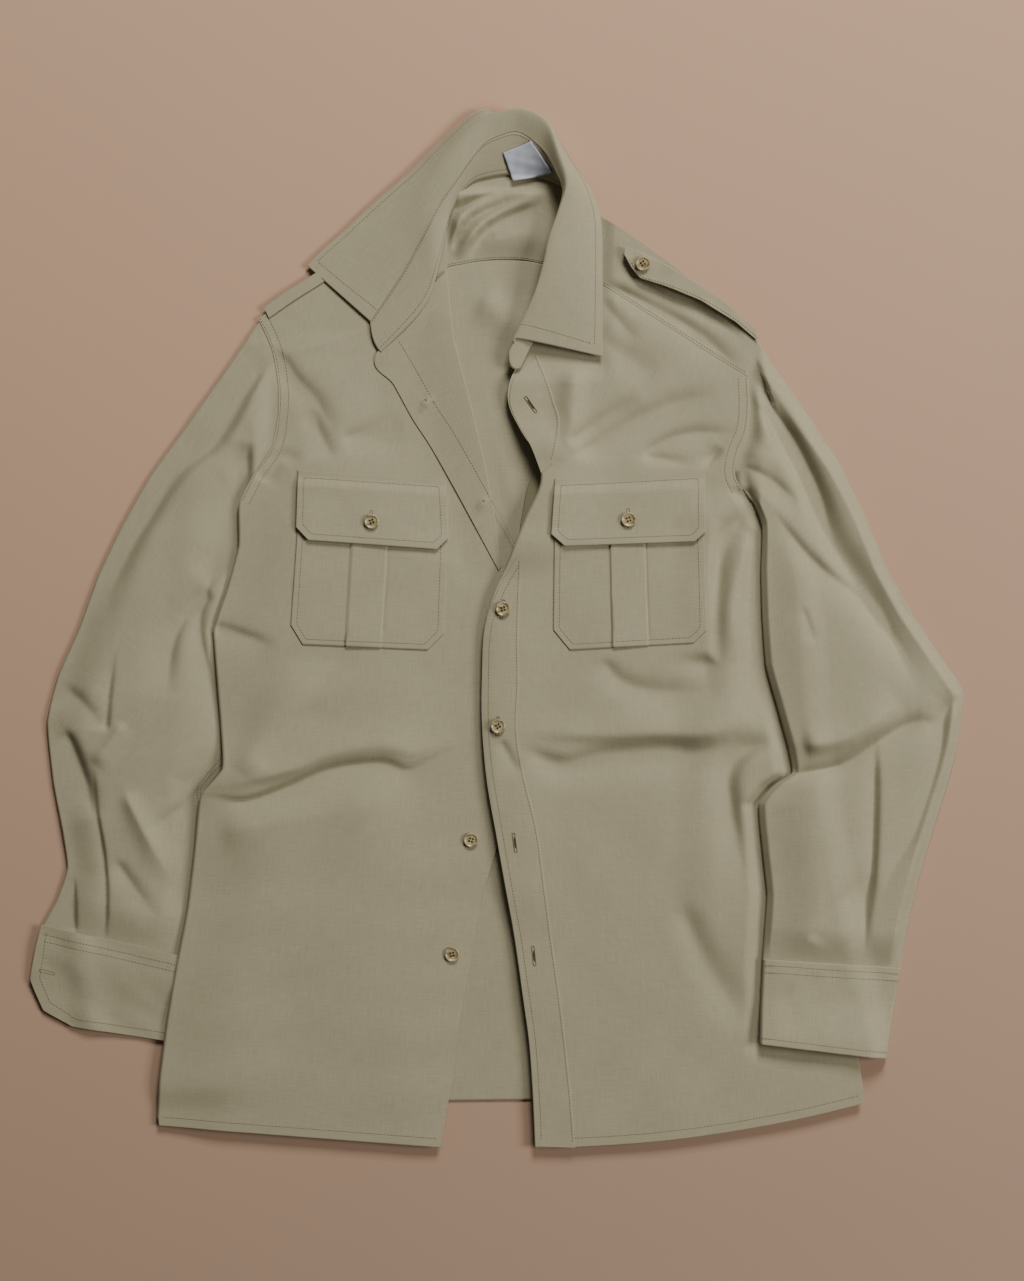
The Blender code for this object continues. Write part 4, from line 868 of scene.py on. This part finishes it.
def buildBody():
    wall = cloth["panelWall"]
    # back, its upper edge along the yoke's seam
    along = np.linspace(0, 1, 150)
    parts = ((0, 0.33, 14), (0.335, 0.66, 44), (0.67, 1, 14))
    across = np.concatenate([np.linspace(*part) for part in parts])
    plan = rowsPlan(backRows, along, across)
    seam = np.array(yokeRows, float)
    seamY = np.interp(plan[0, :, 0], seam[:, 2], seam[:, 3]) + 1.0
    plan[:, :, 1] += (seamY - plan[0, :, 1])[None, :] * (1 - ease(along / 0.27))[:, None]
    addSheet("backPanel", "back", raised(plan, backTop), wall)
    # yoke, its lower edge over the back's top
    plan = rowsPlan(yokeRows, np.linspace(0, 1, 230), nearEdges(46))
    seamLine = edgePath(yokeRows, 2, 300)
    seamLine = seamLine[(seamLine[:, 0] > -70) & (seamLine[:, 0] < 75)]
    addSheet("backYoke", "yoke", raised(plan, yokeTop), 0.55,
             [seamLine + (0, 1.6)], yokeTop, sewn="yokeStitches")
    # left front, its side edge turned down over the sleeve
    plan = rowsPlan(leftFrontRows, nearEdges(300, close["long"]), nearEdges(112), tight=0.6)
    y = plan[:, 0, 1]
    radius = 0.05 + 2.6 * ease((112 - y) / 10) * ease((y + 416) / 6)
    grid = curlEdge(raised(plan, leftFrontTop), radius, 150, False)
    paths = frontPaths(plan, edgePath(leftFrontRows[:7], 0, 120), (-1.4, -8.0))
    addSheet("leftFront", "left_front", grid, wall,
             paths, leftFrontTop)
    # right front, its open edge rolled
    plan = rowsPlan(rightFrontRows, nearEdges(290, close["long"]), nearEdges(112), rightHemBow)
    y = plan[:, 0, 1]
    radius = 0.05 + 2.4 * ease((150 - y) / 14) * ease((y - 46) / 30)
    grid = curlEdge(raised(plan, rightFrontTop), radius, 165, False)
    paths = frontPaths(plan, edgePath(rightFrontRows[:6], 2, 120), (1.6, 8.2))
    addSheet("rightFront", "right_front", grid, wall,
             paths, rightFrontTop)
    # yoke strip over the right shoulder, its upper edge bowed
    across = nearEdges(90)
    plan = rowsPlan(rightYokeRows, nearEdges(34), across)
    plan[:, :, 1] += 8.0 * 4 * across * (1 - across) * np.linspace(1, 0, len(plan))[:, None]
    stripTop = above(rightFrontTop, 0.3)
    addSheet("rightShoulderYoke", "right_yoke_front", raised(plan, stripTop), cloth["trimWall"],
             [np.linspace((58, 312), (208, 216), 90)],
             stripTop, sewn="rightShoulderStitches")
    print("body done")


def buildOpenings():
    # lapel: the front's wrong side, turned out over a soft roll
    plan = rowsPlan(lapelRows, nearEdges(96), nearEdges(34))
    radius = 0.2 + 0.7 * ease((plan[:, -1, 1] - 54) / 60)
    grid = curlEdge(raised(plan, lapelTop), radius, 170, True)
    edge = edgePath(lapelRows[1:], 0, 160)
    addSheet("leftLapel", "left_band", grid, cloth["trimWall"],
             [offsetPath(edge, -22.5)], lapelTop)
    # thread ends of the two buttons on the lapel's far side
    marks = []
    for spot in ((-60, 193.2), (-11.3, 108.4)):
        for turn in (0.5, 2.1, 1.2):
            bar = np.array(spot) + np.outer(np.linspace(-1.6, 1.6, 3), (math.cos(turn), math.sin(turn)))
            marks.append(onSurface(bar, lapelTop))
    stitchRows("leftLapelThreadEnds", marks, thread, radius=0.35, pitch=3.0, dip=0.2)
    # strip turned under the right front's edge, from the back up to the front's underside, in the darker
    # khaki as painted shade
    plan = rowsPlan(turnUnderRows, nearEdges(50), nearEdges(14))
    share = np.linspace(0, 1, plan.shape[1])[None, :]
    under = rightFrontTop(plan[:, -1:, 0], plan[:, -1:, 1]) - 5.0
    grid = np.dstack((plan, 2.3 + (under - 2.3) * share ** 1.5))
    wall = cloth["placketWall"]
    addSheet("rightTurnUnder", None, grid, wall, material=paintedShadeKhaki)
    # plackets, the lower one with its free edge turned down
    placketTop = above(rightFrontTop, 0.4)
    columns = nearEdges(17, close["strip"])
    grid = raised(rowsPlan(placketRows, nearEdges(230, close["long"]), columns), placketTop)
    grid = curlEdge(grid, np.full(len(grid), 0.9), 95, False, 5)
    sides = ((2, 1.6), (0, -5.0))
    paths = [offsetPath(edgePath(placketRows, column, 220)[6:-3], inset) for column, inset in sides]
    addSheet("rightPlacket", "right_placket", grid, wall,
             paths, placketTop)
    grid = raised(rowsPlan(upperPlacketRows, nearEdges(50), columns), placketTop)
    addSheet("rightUpperPlacket", "right_upper_placket", grid, wall,
             [offsetPath(edgePath(upperPlacketRows, 2, 60)[2:-2], 1.6)], placketTop)
    print("openings done")


def patchPlan(corners, down, across, extra=()):
    # Grid of a patch with cut lower corners: straight rows, then rows that draw in along the cuts
    topLeft, topRight, right, lowRight, lowLeft, left = (np.array(corner, float) for corner in corners)
    part = nearEdges(down, close["patch"])[:, None]
    cut = np.linspace(0, 1, 10)[1:, None]
    first = np.concatenate((topLeft + (left - topLeft) * part, left + (lowLeft - left) * cut))
    second = np.concatenate((topRight + (right - topRight) * part, right + (lowRight - right) * cut))
    share = np.unique(np.concatenate((nearEdges(across, close["patch"]), extra)))[None, :, None]
    return first[:, None] + (second - first)[:, None] * share


def buildPocket(side, pocket, base):
    bag = np.array(pocket["bag"], float)
    pleat = np.array(pocket["pleat"], float)
    width = bag[1, 0] - bag[0, 0]

    def bagTop(x, y):
        # On the front, with the pleat's strip sloping down from its low-x edge to a groove at its other one
        lean = (72 - y) / 87
        low = pleat[0, 0] + (pleat[3, 0] - pleat[0, 0]) * lean
        high = pleat[1, 0] + (pleat[2, 0] - pleat[1, 0]) * lean
        slope = 1.5 - 1.1 * (x - low) / (high - low)
        strip = slope * ease(x - low) * ease(high - x) - 0.5 * np.exp(-((x - high) / 0.9) ** 2)
        return base(x, y) + 0.8 + strip

    def flapTop(x, y):
        # On the front, lifted where the bag is below it, and a little more towards the flap's free edge
        head = bag[0, 1] + (bag[1, 1] - bag[0, 1]) * (x - bag[0, 0]) / width
        return base(x, y) + 0.9 + 2.3 * ease((head + 12 - y) / 10) + 0.9 * ease((88 - y) / 16)

    marks = []
    for corner in (0, 1):
        centre = (pleat[corner, 0] - bag[0, 0]) / width
        marks += list(centre + np.array((-1.6, -0.8, 0, 0.8, 1.6)) / width)
    grid = raised(patchPlan(bag, 74, 74, marks), bagTop)
    line = evenPath(np.roll(insetPolygon(bag, 5.0), -1, axis=0), 2.0)[0]
    addSheet(side + "Pocket", side + "_pocket", grid, cloth["trimWall"],
             [line], bagTop)
    grid = raised(patchPlan(pocket["flap"], 36, 74), flapTop)
    outline = insetPolygon(pocket["flap"], 5.6)
    line = evenPath(np.concatenate((outline, outline[:1])), 2.0)[0]
    addSheet(side + "Flap", side + "_flap", grid, cloth["panelWall"],
             [line], flapTop)
    spot = pocket["button"]
    addButton(side + "PocketButton", side + "_pocket_button", spot, heightAt(flapTop, spot), 20)
    addButtonhole(side + "PocketButtonhole", (spot[0], spot[1] + 1.5), 90, 15.0, flapTop)


def sleeveRings(rows, armhole, count, across, below, top, bottom, body=None):
    # Flattened tube: the upper half runs from edge to edge at its own height, the lower half back again
    # on what it lies on, and both close in a quarter round over the edges
    edge = 3.0
    along = np.linspace(0, 1, count)
    edges = smoothPath(rows, along, 0.55)
    start = edges[:, None, 0:2]
    end = edges[:, None, 2:4]
    width = np.linalg.norm(end - start, axis=2)
    rings = []
    for steps, upper in ((across, True), (below, False)):
        even = np.linspace(0, 1, steps)
        share = 0.5 - 0.5 * np.cos(np.pi * even)
        share = (0.55 * even + 0.45 * share if upper else share)[None, :, None]
        chord = start + (end - start) * share
        bend = armhole(share[0, :, 0]) - chord[0]
        bendReach = np.maximum(0.3 - 0.34 * share, 0.01)
        fade = np.clip(1 - along[:, None, None] / bendReach, 0, 1) ** 2
        plan = chord + bend[None] * fade
        reach = np.minimum(share[:, :, 0], 1 - share[:, :, 0]) * width
        roll = np.sqrt(1 - (1 - np.clip(reach / (0.75 * edge), 0, 1)) ** 2)
        x = plan[:, :, 0]
        y = plan[:, :, 1]
        centre = bottom(x, y) + 0.5 * edge
        if not upper:
            rings.append(np.dstack((plan, centre - 0.5 * edge * roll))[:, -2:0:-1])
            continue
        fromArm = np.linalg.norm(plan - plan[:1], axis=2)
        high = centre + (np.maximum(top(x, y, reach, fromArm), edge) - 0.5 * edge) * roll
        if body is not None:
            joined = ease((fromArm - 2) / 24)
            high = body(x, y) * (1 - joined) + high * joined
        rings.append(np.dstack((plan, high)))
    return np.concatenate(rings, axis=1)


def buildSleeves():
    def floorLevel(x, y):
        return np.zeros(x.shape)

    def leftArmhole(share):
        return smoothPath(leftArmholePath, share) + (2.0, -1.0)

    def leftTop(x, y, reach, fromArm):
        # A swell in from the edges with folds, flat under the body, at the cuff and at the armhole
        folds = foldHeight(x, y, leftSleeveFolds) + unevenness(x, y, 7, 120, 0.4)
        body = edgeAt(leftFrontRows, y, 0)
        tucked = (0.42 + 0.58 * ease((body - x) / 45)) * ease((body - 1 - x) / 9)
        tucked = np.maximum(tucked, ease((y - 90) / 50))
        cuffed = 0.3 + 0.7 * ease((y + 252 + (x + 383) * 0.217) / 36)
        swell = 7.5 * ease(reach / 36) * (0.3 + 0.7 * ease(fromArm / 40))
        started = ease((fromArm - 1) / 16)
        return 2.2 + 0.8 * started + aboveZero(swell + folds, 1.0) * tucked * cuffed * started

    underFront = above(leftFrontTop, -0.5)
    grid = sleeveRings(leftSleeveRows, leftArmhole, 220, 108, 18, leftTop, floorLevel, underFront)
    # double-stitched seam near the inner edge, where the body leaves it bare
    normals = gridNormals(grid, True, grid - grid.mean(axis=1, keepdims=True))
    rows = np.flatnonzero((grid[:, 100, 1] < -84) & (grid[:, 100, 1] > -150))
    lines = [(grid[rows, column], normals[rows, column]) for column in (98, 101)]
    wall = cloth["trimWall"]
    addSheet("leftSleeve", "left_sleeve", grid, wall, lines=lines,
             around=True)

    def rightArmhole(share):
        rows = np.concatenate((((218, 245),), np.array(rightFrontRows)[:6, 2:]))
        return smoothPath(rows, share) + (-2.0, -0.6)

    def rightTop(x, y, reach, fromArm):
        # A swell, round at the outer edge and gentler at the inner one, with folds, flat at both ends
        folds = foldHeight(x, y, rightSleeveFolds) + unevenness(x, y, 9, 120, 0.4)
        cuffed = 0.2 + 0.8 * ease((y + 289 + (339 - x) * -0.068) / 36)
        outward = edgeAt(rightSleeveRows, y, 0) - x < x - edgeAt(rightSleeveRows, y, 2)
        swell = np.where(outward, 10.5 * ease(reach / 12), 4.2 * ease(reach / 6) + 6.3 * ease(reach / 46))
        return 3.0 + aboveZero(swell + folds, 1.0) * cuffed * ease((fromArm - 1) / 14)

    underFront = above(rightFrontTop, -0.5)
    grid = sleeveRings(rightSleeveRows, rightArmhole, 220, 108, 18, rightTop, rightSleeveBottom, underFront)
    addSheet("rightSleeve", "right_sleeve", grid, wall,
             around=True)
    print("sleeves done")


def buildCuffs():
    def leftCuffTop(x, y):
        # Lower towards its far edge, with one ridge across it
        ridge = 2.6 * np.exp(-((x + 346 + 0.12 * (y + 300)) / 13) ** 2)
        rise = 3.0 * ease((y + 0.217 * (x + 383) + 306) / 40)
        return 3.2 + rise + ridge + unevenness(x, y, 11, 60, 0.25)

    # left cuff, open and folded under itself at its inner end
    grid = raised(rowsPlan(leftCuffRows, nearEdges(54), nearEdges(64), tight=0.85), leftCuffTop)
    grid = curlEdge(grid, np.full(len(grid), 1.6), 170, True)
    edge = evenPath(((-383, -252.5), (-389.5, -293), (-380, -316), (-356, -331.5), (-262, -346)), 2.0)[0]
    top = evenPath(((-381, -254), (-262, -281.5)), 2.0)[0]
    paths = (offsetPath(edge, -5.0), top + (0, -1.2), top + (0, -7))
    addSheet("leftCuff", "left_cuff", grid, 1.0, paths, leftCuffTop)
    addButtonhole("leftCuffButtonhole", (-378.0, -287), 166, 12.0, leftCuffTop, False)

    def seamLine(share):
        first = np.array(rightCuffRows[0], float)
        return first[:2] + (first[2:] - first[:2]) * share[:, None]

    def cuffRise(x, y):
        return 1.8 * ease((-300 - y) / 50) + unevenness(x, y, 13, 60, 0.2)

    def rightCuffTop(x, y, reach, fromArm):
        # A low swell in from the edges, higher towards the hand
        return 5.6 + 0.8 * ease(reach / 14) + cuffRise(x, y)

    def onCuff(x, y):
        return rightSleeveBottom(x, y) + 6.4 + cuffRise(x, y)

    grid = sleeveRings(rightCuffRows, seamLine, 60, 60, 20, rightCuffTop, rightSleeveBottom)
    topLine = evenPath(((337, -287.5), (224, -279.5)), 2.0)[0]
    lowLine = evenPath(((326, -353.5), (220.5, -340.5)), 2.0)[0]
    paths = (topLine + (0, -1.0), topLine + (0, -7.0), lowLine)
    addSheet("rightCuff", "right_cuff", grid, 1.0,
             paths, onCuff, around=True)
    print("cuffs done")


def buildStand(neck, seam):
    # Band from the neck's seam to the leaf's, a little bulged, both ends round
    count = len(neck)
    share = np.linspace(0, 1, 16)[None, :, None]
    stand = neck[:, None] + (seam - neck)[:, None] * share + np.sin(np.pi * share) * np.array((0, 0, 0.5))
    stand[:, :, 2] -= 0.4
    arch = 4 * share * (1 - share)
    near = ease(1 - np.linspace(0, 9, count))[:, None, None]
    stand[:, :, :2] += ((stand[0] - stand[4]) / 2.2)[None, :, :2] * arch * near
    outward = stand[-1] - stand[-8]
    outward = outward / np.linalg.norm(outward, axis=1, keepdims=True) * np.array((1, 1, 0.3))
    ends = [stand[-1:] + outward * reach * (0.5 + 0.5 * arch) for reach in (3, 6, 9, 12, 14)]
    return np.concatenate([stand] + ends)


def buildCollar():
    rails = smoothPath(collarRows, np.linspace(0, 1, 210))
    neck, seam, turn, edge = (rails[:, start:start + 3] for start in (0, 3, 6, 9))
    stand = buildStand(neck, seam)
    # leaf: a smooth line across from the seam over its turn to the free edge
    across = nearEdges(30, close["patch"])
    index = np.minimum((across * 2).astype(int), 1)
    rails = np.stack((seam, seam, turn, edge, edge), axis=1)
    part = (across * 2 - index)[None, :, None]
    leaf = cubicThrough(*(rails[:, index + step] for step in range(4)), part)
    upward = (0, 0, 1.0)
    normal = gridNormals(leaf, False, upward, 60)
    # one row of stitches inside the free edge and both ends
    width = np.linalg.norm(np.diff(leaf, axis=1), axis=2).sum(axis=1)
    column = np.interp(1 - 5.8 / width, across, np.arange(len(across)))
    low = column.astype(int)
    rows = np.arange(len(leaf))
    part = (column - low)[:, None]
    free, freeNormal = (grid[rows, low] * (1 - part) + grid[rows, low + 1] * part for grid in (leaf, normal))
    first, last = (int(round(6.0 / np.linalg.norm(leaf[row, -1] - leaf[row - 1, -1]))) for row in (1, -1))
    lines = [(free[first:-last], freeNormal[first:-last])]
    for row in (first, -last - 1):
        lines.append((leaf[row, 2:low[row] + 1], normal[row, 2:low[row] + 1]))
    addSheet("collarLeaf", "collar_leaf", leaf, 1.1,
             lines=lines)
    normal = gridNormals(stand, False, upward, 60)
    lines = [(stand[2:-2, 2], normal[2:-2, 2]), (stand[2:120, -2], normal[2:120, -2])]
    addSheet("collarStand", "collar_stand", stand, 1.0,
             lines=lines)
    # label on the stand's inner face, at the mean of the stand's heights weighted by nearness
    corners = np.array(labelCorners, float)
    part = np.linspace(0, 1, 20)[:, None, None]
    share = np.linspace(0, 1, 24)[None, :, None]
    upper = corners[0] + (corners[1] - corners[0]) * share
    lower = corners[3] + (corners[2] - corners[3]) * share
    plan = upper + (lower - upper) * part
    ground = stand[60:180].reshape(-1, 3)
    apart = np.linalg.norm(plan[:, :, None] - ground[None, None, :, :2], axis=3)
    weight = 1 / (apart + 1.5) ** 4
    level = (weight * ground[:, 2]).sum(axis=2) / weight.sum(axis=2)
    level = level + 1.3 + unevenness(plan[:, :, 0], plan[:, :, 1], 21, 22, 0.22)
    addSheet("neckLabel", "label", np.dstack((plan, level)), 0.4,
             material=labelCloth)
    print("collar done")


def buildEpaulettes():
    def strapTop(x, y):
        # Level near the collar, falling towards the shoulder's end
        return 14.0 - 3.2 * ease((x - 165) / 50) + unevenness(x, y, 17, 50, 0.3)

    plan = rowsPlan(rightEpauletteRows, nearEdges(80), nearEdges(12, close["strap"]), tight=0.85)
    edge = offsetPath(edgePath(rightEpauletteRows, 2, 100)[8:], -1.8)
    addSheet("rightEpaulette", "right_epaulette", raised(plan, strapTop), 1.2,
             [edge], strapTop)
    spot = (121.4, 306.0)
    addButton("rightEpauletteButton", "right_epaulette_button", spot, heightAt(strapTop, spot), 35)
    plan = rowsPlan(leftEpauletteRows, nearEdges(50), nearEdges(10, close["strap"]))
    grid = raised(plan, above(leftFrontTop, 1.5))
    addSheet("leftEpaulette", "left_epaulette", grid, 1.2)
    print("epaulettes done")


button = {"radius": 6.2, "height": 2.6, "rim": 1.3, "dish": 0.8, "hole": 0.95, "spread": 1.7, "sides": 48}


def turnedObject(name, profile, sides, centre=(0.0, 0.0)):
    # Body of a profile of radii and heights turned round an axis, closed at both ends, in millimetres
    turn = 2 * math.pi * np.arange(sides) / sides
    points = []
    for radius, height in profile:
        radius = max(radius, 0.02)
        points += [(centre[0] + radius * math.cos(a), centre[1] + radius * math.sin(a), height) for a in turn]
    faces = gridQuads(len(profile), sides, 0, True, False).tolist()
    faces.append(list(range(sides))[::-1])
    faces.append(list(range(len(points) - sides, len(points))))
    mesh = bpy.data.meshes.new(name)
    mesh.from_pydata(points, [], faces)
    mesh.update()
    return linkObject(name, mesh)


def makeButtonMesh():
    # Points and faces of a rimmed disc with a dished face and four holes cut through it
    r = button["radius"]
    h = button["height"]
    inner = r - button["rim"]
    face = h - button["dish"]
    profile = (
        (0.0, 0.2), (0.6 * r, 0.15), (0.8 * r, 0.3), (0.95 * r, 0.8), (r, 1.4), (0.985 * r, 2.0),
        (0.95 * r, h - 0.15), (0.9 * r, h), (inner, h - 0.08), (inner - 0.5, face + 0.1),
        (inner - 0.9, face), (0.3 * r, face - 0.1), (0.0, face - 0.12),
    )
    body = turnedObject("buttonBody", profile, button["sides"])
    pin = ((0.0, -1.0), (button["hole"], -1.0), (button["hole"], 4.0), (0.0, 4.0))
    cutters = []
    for quarter in range(4):
        angle = math.radians(45 + 90 * quarter)
        centre = (button["spread"] * math.cos(angle), button["spread"] * math.sin(angle))
        cutters.append(turnedObject("buttonHole%d" % quarter, pin, 16, centre))
        cut = body.modifiers.new("hole%d" % quarter, "BOOLEAN")
        cut.object = cutters[-1]
        cut.operation = "DIFFERENCE"
    graph = bpy.context.evaluated_depsgraph_get()
    mesh = bpy.data.meshes.new_from_object(body.evaluated_get(graph))
    for extra in [body] + cutters:
        bpy.data.objects.remove(extra)
    points = np.array([tuple(vertex.co) for vertex in mesh.vertices])
    return points, [tuple(polygon.vertices) for polygon in mesh.polygons]


buttonPoints, buttonFaces = makeButtonMesh()


def addButton(name, node, spot, ground, turn):
    # The button just clear of the ground, turned in plan, and two double bars of thread across its holes
    angle = math.radians(turn)
    cosine, sine = math.cos(angle), math.sin(angle)
    matrix = np.array(((cosine, sine, 0), (-sine, cosine, 0), (0, 0, 1)))
    place = np.array((spot[0], spot[1], ground + 0.2))
    points = (buttonPoints @ matrix + place + centreShift) * millimetre
    mesh = bpy.data.meshes.new(name)
    mesh.from_pydata(points.tolist(), [], buttonFaces)
    mesh.update()
    mesh.shade_smooth()
    mesh.set_sharp_from_angle(angle=math.radians(45))
    mesh.materials.append(hornButton)
    item = linkObject(name, mesh)
    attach(item, "root")
    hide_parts(node)
    reach = button["spread"] * math.sqrt(0.5)
    bar = np.linspace(-reach, reach, 3)
    bow = button["height"] - button["dish"] + 0.35 - 0.5 * (bar / reach) ** 2
    lines = []
    for side in (-1, 1):
        for shift in (-0.25, 0.25):
            line = np.column_stack((bar, np.full(3, side * reach + shift), bow)) @ matrix + place
            lines.append((line, np.tile((0.0, 0.0, 1.0), (3, 1))))
    stitchRows(name + "Thread", lines, thread, radius=0.22, pitch=4.0)


def addButtonhole(name, centre, turn, length, top, slitOpen=True):
    # Thread wound round a slit: a closed stadium path of close stitches, and inside it a near-black sheet,
    # painted shade in the slit, which gapes in its middle
    angle = math.radians(turn)
    forward = np.array((math.cos(angle), math.sin(angle)))
    aside = np.array((-forward[1], forward[0]))
    half = 0.5 * length
    path = []
    for side in (1, -1):
        for part in np.linspace(-half, half, 9) * side:
            path.append(centre + forward * part + aside * 1.1 * side)
        for part in np.linspace(math.pi / 2, -math.pi / 2, 7)[1:-1]:
            bend = forward * (half + 0.7 * math.cos(part)) + aside * 1.1 * math.sin(part)
            path.append(centre + side * bend)
    line = onSurface(np.array(path + path[:1]), top)
    stitchRows(name, [line], buttonholeThread, radius=0.4, pitch=0.7, dip=0.05)
    # an open slit gets a near-black sheet inside: painted shade of its gap
    if slitOpen:
        share = np.linspace(-1, 1, 14)[:, None, None]
        across = np.linspace(-1, 1, 3)[None, :, None] * (0.12 + 0.6 * (1 - share ** 2))
        plan = centre + forward * 0.62 * half * share + aside * across
        closedSheet(name + "Slit", raised(plan, above(top, 0.22)), 0.15, slitPaintedShade)


def buildFrontButtons():
    # Two buttons through the right front and two left open, then the buttonholes
    placketTop = above(rightFrontTop, 0.75)
    spots = (((4.6, 17.6), placketTop, 15), ((0.4, -80.6), placketTop, 30),
             ((-22.3, -176.4), leftFrontTop, 75), ((-38.2, -272.2), leftFrontTop, 100))
    for number, (spot, top, turn) in enumerate(spots, 1):
        addButton("placketButton%d" % number, "placket_button_%d" % number, spot, heightAt(top, spot), turn)
    holes = (("First", (4.6, 17.5), 84), ("Second", (0.4, -80.5), 88), ("Third", (14.7, -178), 98),
             ("Fourth", (30.7, -273), 96), ("Upper", (28.1, 189), 125))
    for name, spot, turn in holes:
        addButtonhole("buttonhole" + name, spot, turn, 15.0, placketTop)
    print("buttons done")


def floorMaterial():
    # Painted board: warm pinkish beige, faintly clouded, a little darker towards the hem's side and towards
    # the right as painted shade where the light falls off
    material, tree, shader = newMaterial("pinkBeigeBoard")
    place = tree.nodes.new("ShaderNodeTexCoord")
    noise = noiseNode(tree, place.outputs["Object"], 3.0, 4.0)
    apart = tree.nodes.new("ShaderNodeSeparateXYZ")
    link(tree, place.outputs["Object"], apart.inputs["Vector"])
    # painted light falloff: lighter towards the top, darker towards the hem's side and a little towards the
    # right
    upward = mathNode(tree, "MULTIPLY", apart.outputs["Y"], 0.9)
    level = mathNode(tree, "SUBTRACT", upward, mathNode(tree, "MULTIPLY", apart.outputs["X"], 0.15))
    level = mathNode(tree, "ADD", level, mathNode(tree, "MULTIPLY", noise, 0.2))
    level = mathNode(tree, "ADD", level, 0.4)
    colourBetween(tree, shader, level, (0.39, 0.262, 0.183), (0.518, 0.332, 0.218))
    shader.inputs["Roughness"].default_value = 0.9
    shader.inputs["Specular IOR Level"].default_value = 0.2
    return material


studio = {
    "floorHalf": 3.0, "floorLevel": -0.0002, "world": 0.075, "lens": 70.0, "sensor": 36.0,
    "pixel": 0.84,  # millimetres of the shirt for each pixel of the photograph, 1024 by 1281 of them
}


def buildStudio():
    half = studio["floorHalf"]
    corners = [(x * half, y * half, studio["floorLevel"]) for x, y in ((-1, -1), (1, -1), (1, 1), (-1, 1))]
    mesh = bpy.data.meshes.new("floor")
    mesh.from_pydata(corners, [], [(0, 1, 2, 3)])
    mesh.materials.append(floorMaterial())
    linkObject("floor", mesh)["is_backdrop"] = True
    lights = (
        # name, place, size, power, colour
        ("sideLight", (3.2, -0.1, 2.4), 1.4, 106.0, (1.0, 0.975, 0.94)),
        ("topLight", (0.7, 2.7, 2.2), 1.2, 116.0, (1.0, 0.985, 0.965)),
    )
    for name, place, size, power, colour in lights:
        light = bpy.data.lights.new(name, "AREA")
        light.shape = "SQUARE"
        light.size = size
        light.energy = power
        light.color = colour
        item = linkObject(name, light)
        item.location = place
        tilt = math.atan2(math.hypot(place[0], place[1]), place[2])
        item.rotation_euler = (tilt, 0.0, math.atan2(place[1], place[0]) + math.pi / 2)
    world = bpy.data.worlds.new("softRoom")
    world.use_nodes = True
    background = world.node_tree.nodes["Background"]
    background.inputs["Color"].default_value = (1.0, 0.94, 0.85, 1.0)
    background.inputs["Strength"].default_value = studio["world"]
    bpy.context.scene.world = world
    # camera straight above, its long side as long as the photograph at the cloth's height
    scale = studio["pixel"]
    view = bpy.data.cameras.new("camera")
    view.lens = studio["lens"]
    view.sensor_width = studio["sensor"]
    view.clip_end = 20.0
    camera = linkObject("camera", view)
    middle = (np.array(((512 - 497.5) * scale, (630 - 640.5) * scale, 0.0)) + centreShift) * millimetre
    distance = 1281 * scale * millimetre * studio["lens"] / studio["sensor"]
    camera.location = (middle[0], middle[1], distance + 0.004)
    bpy.context.scene.camera = camera
    print("studio done")


buildBody()
buildOpenings()
for side, base in (("left", leftFrontTop), ("right", rightFrontTop)):
    buildPocket(side, pockets[side], base)
print("pockets done")
buildSleeves()
buildCuffs()
buildCollar()
buildEpaulettes()
buildFrontButtons()
buildStudio()
triangles = 0
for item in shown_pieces():
    if item.type == "MESH":
        triangles += sum(len(polygon.vertices) - 2 for polygon in item.data.polygons)
print("triangles in all:", triangles)
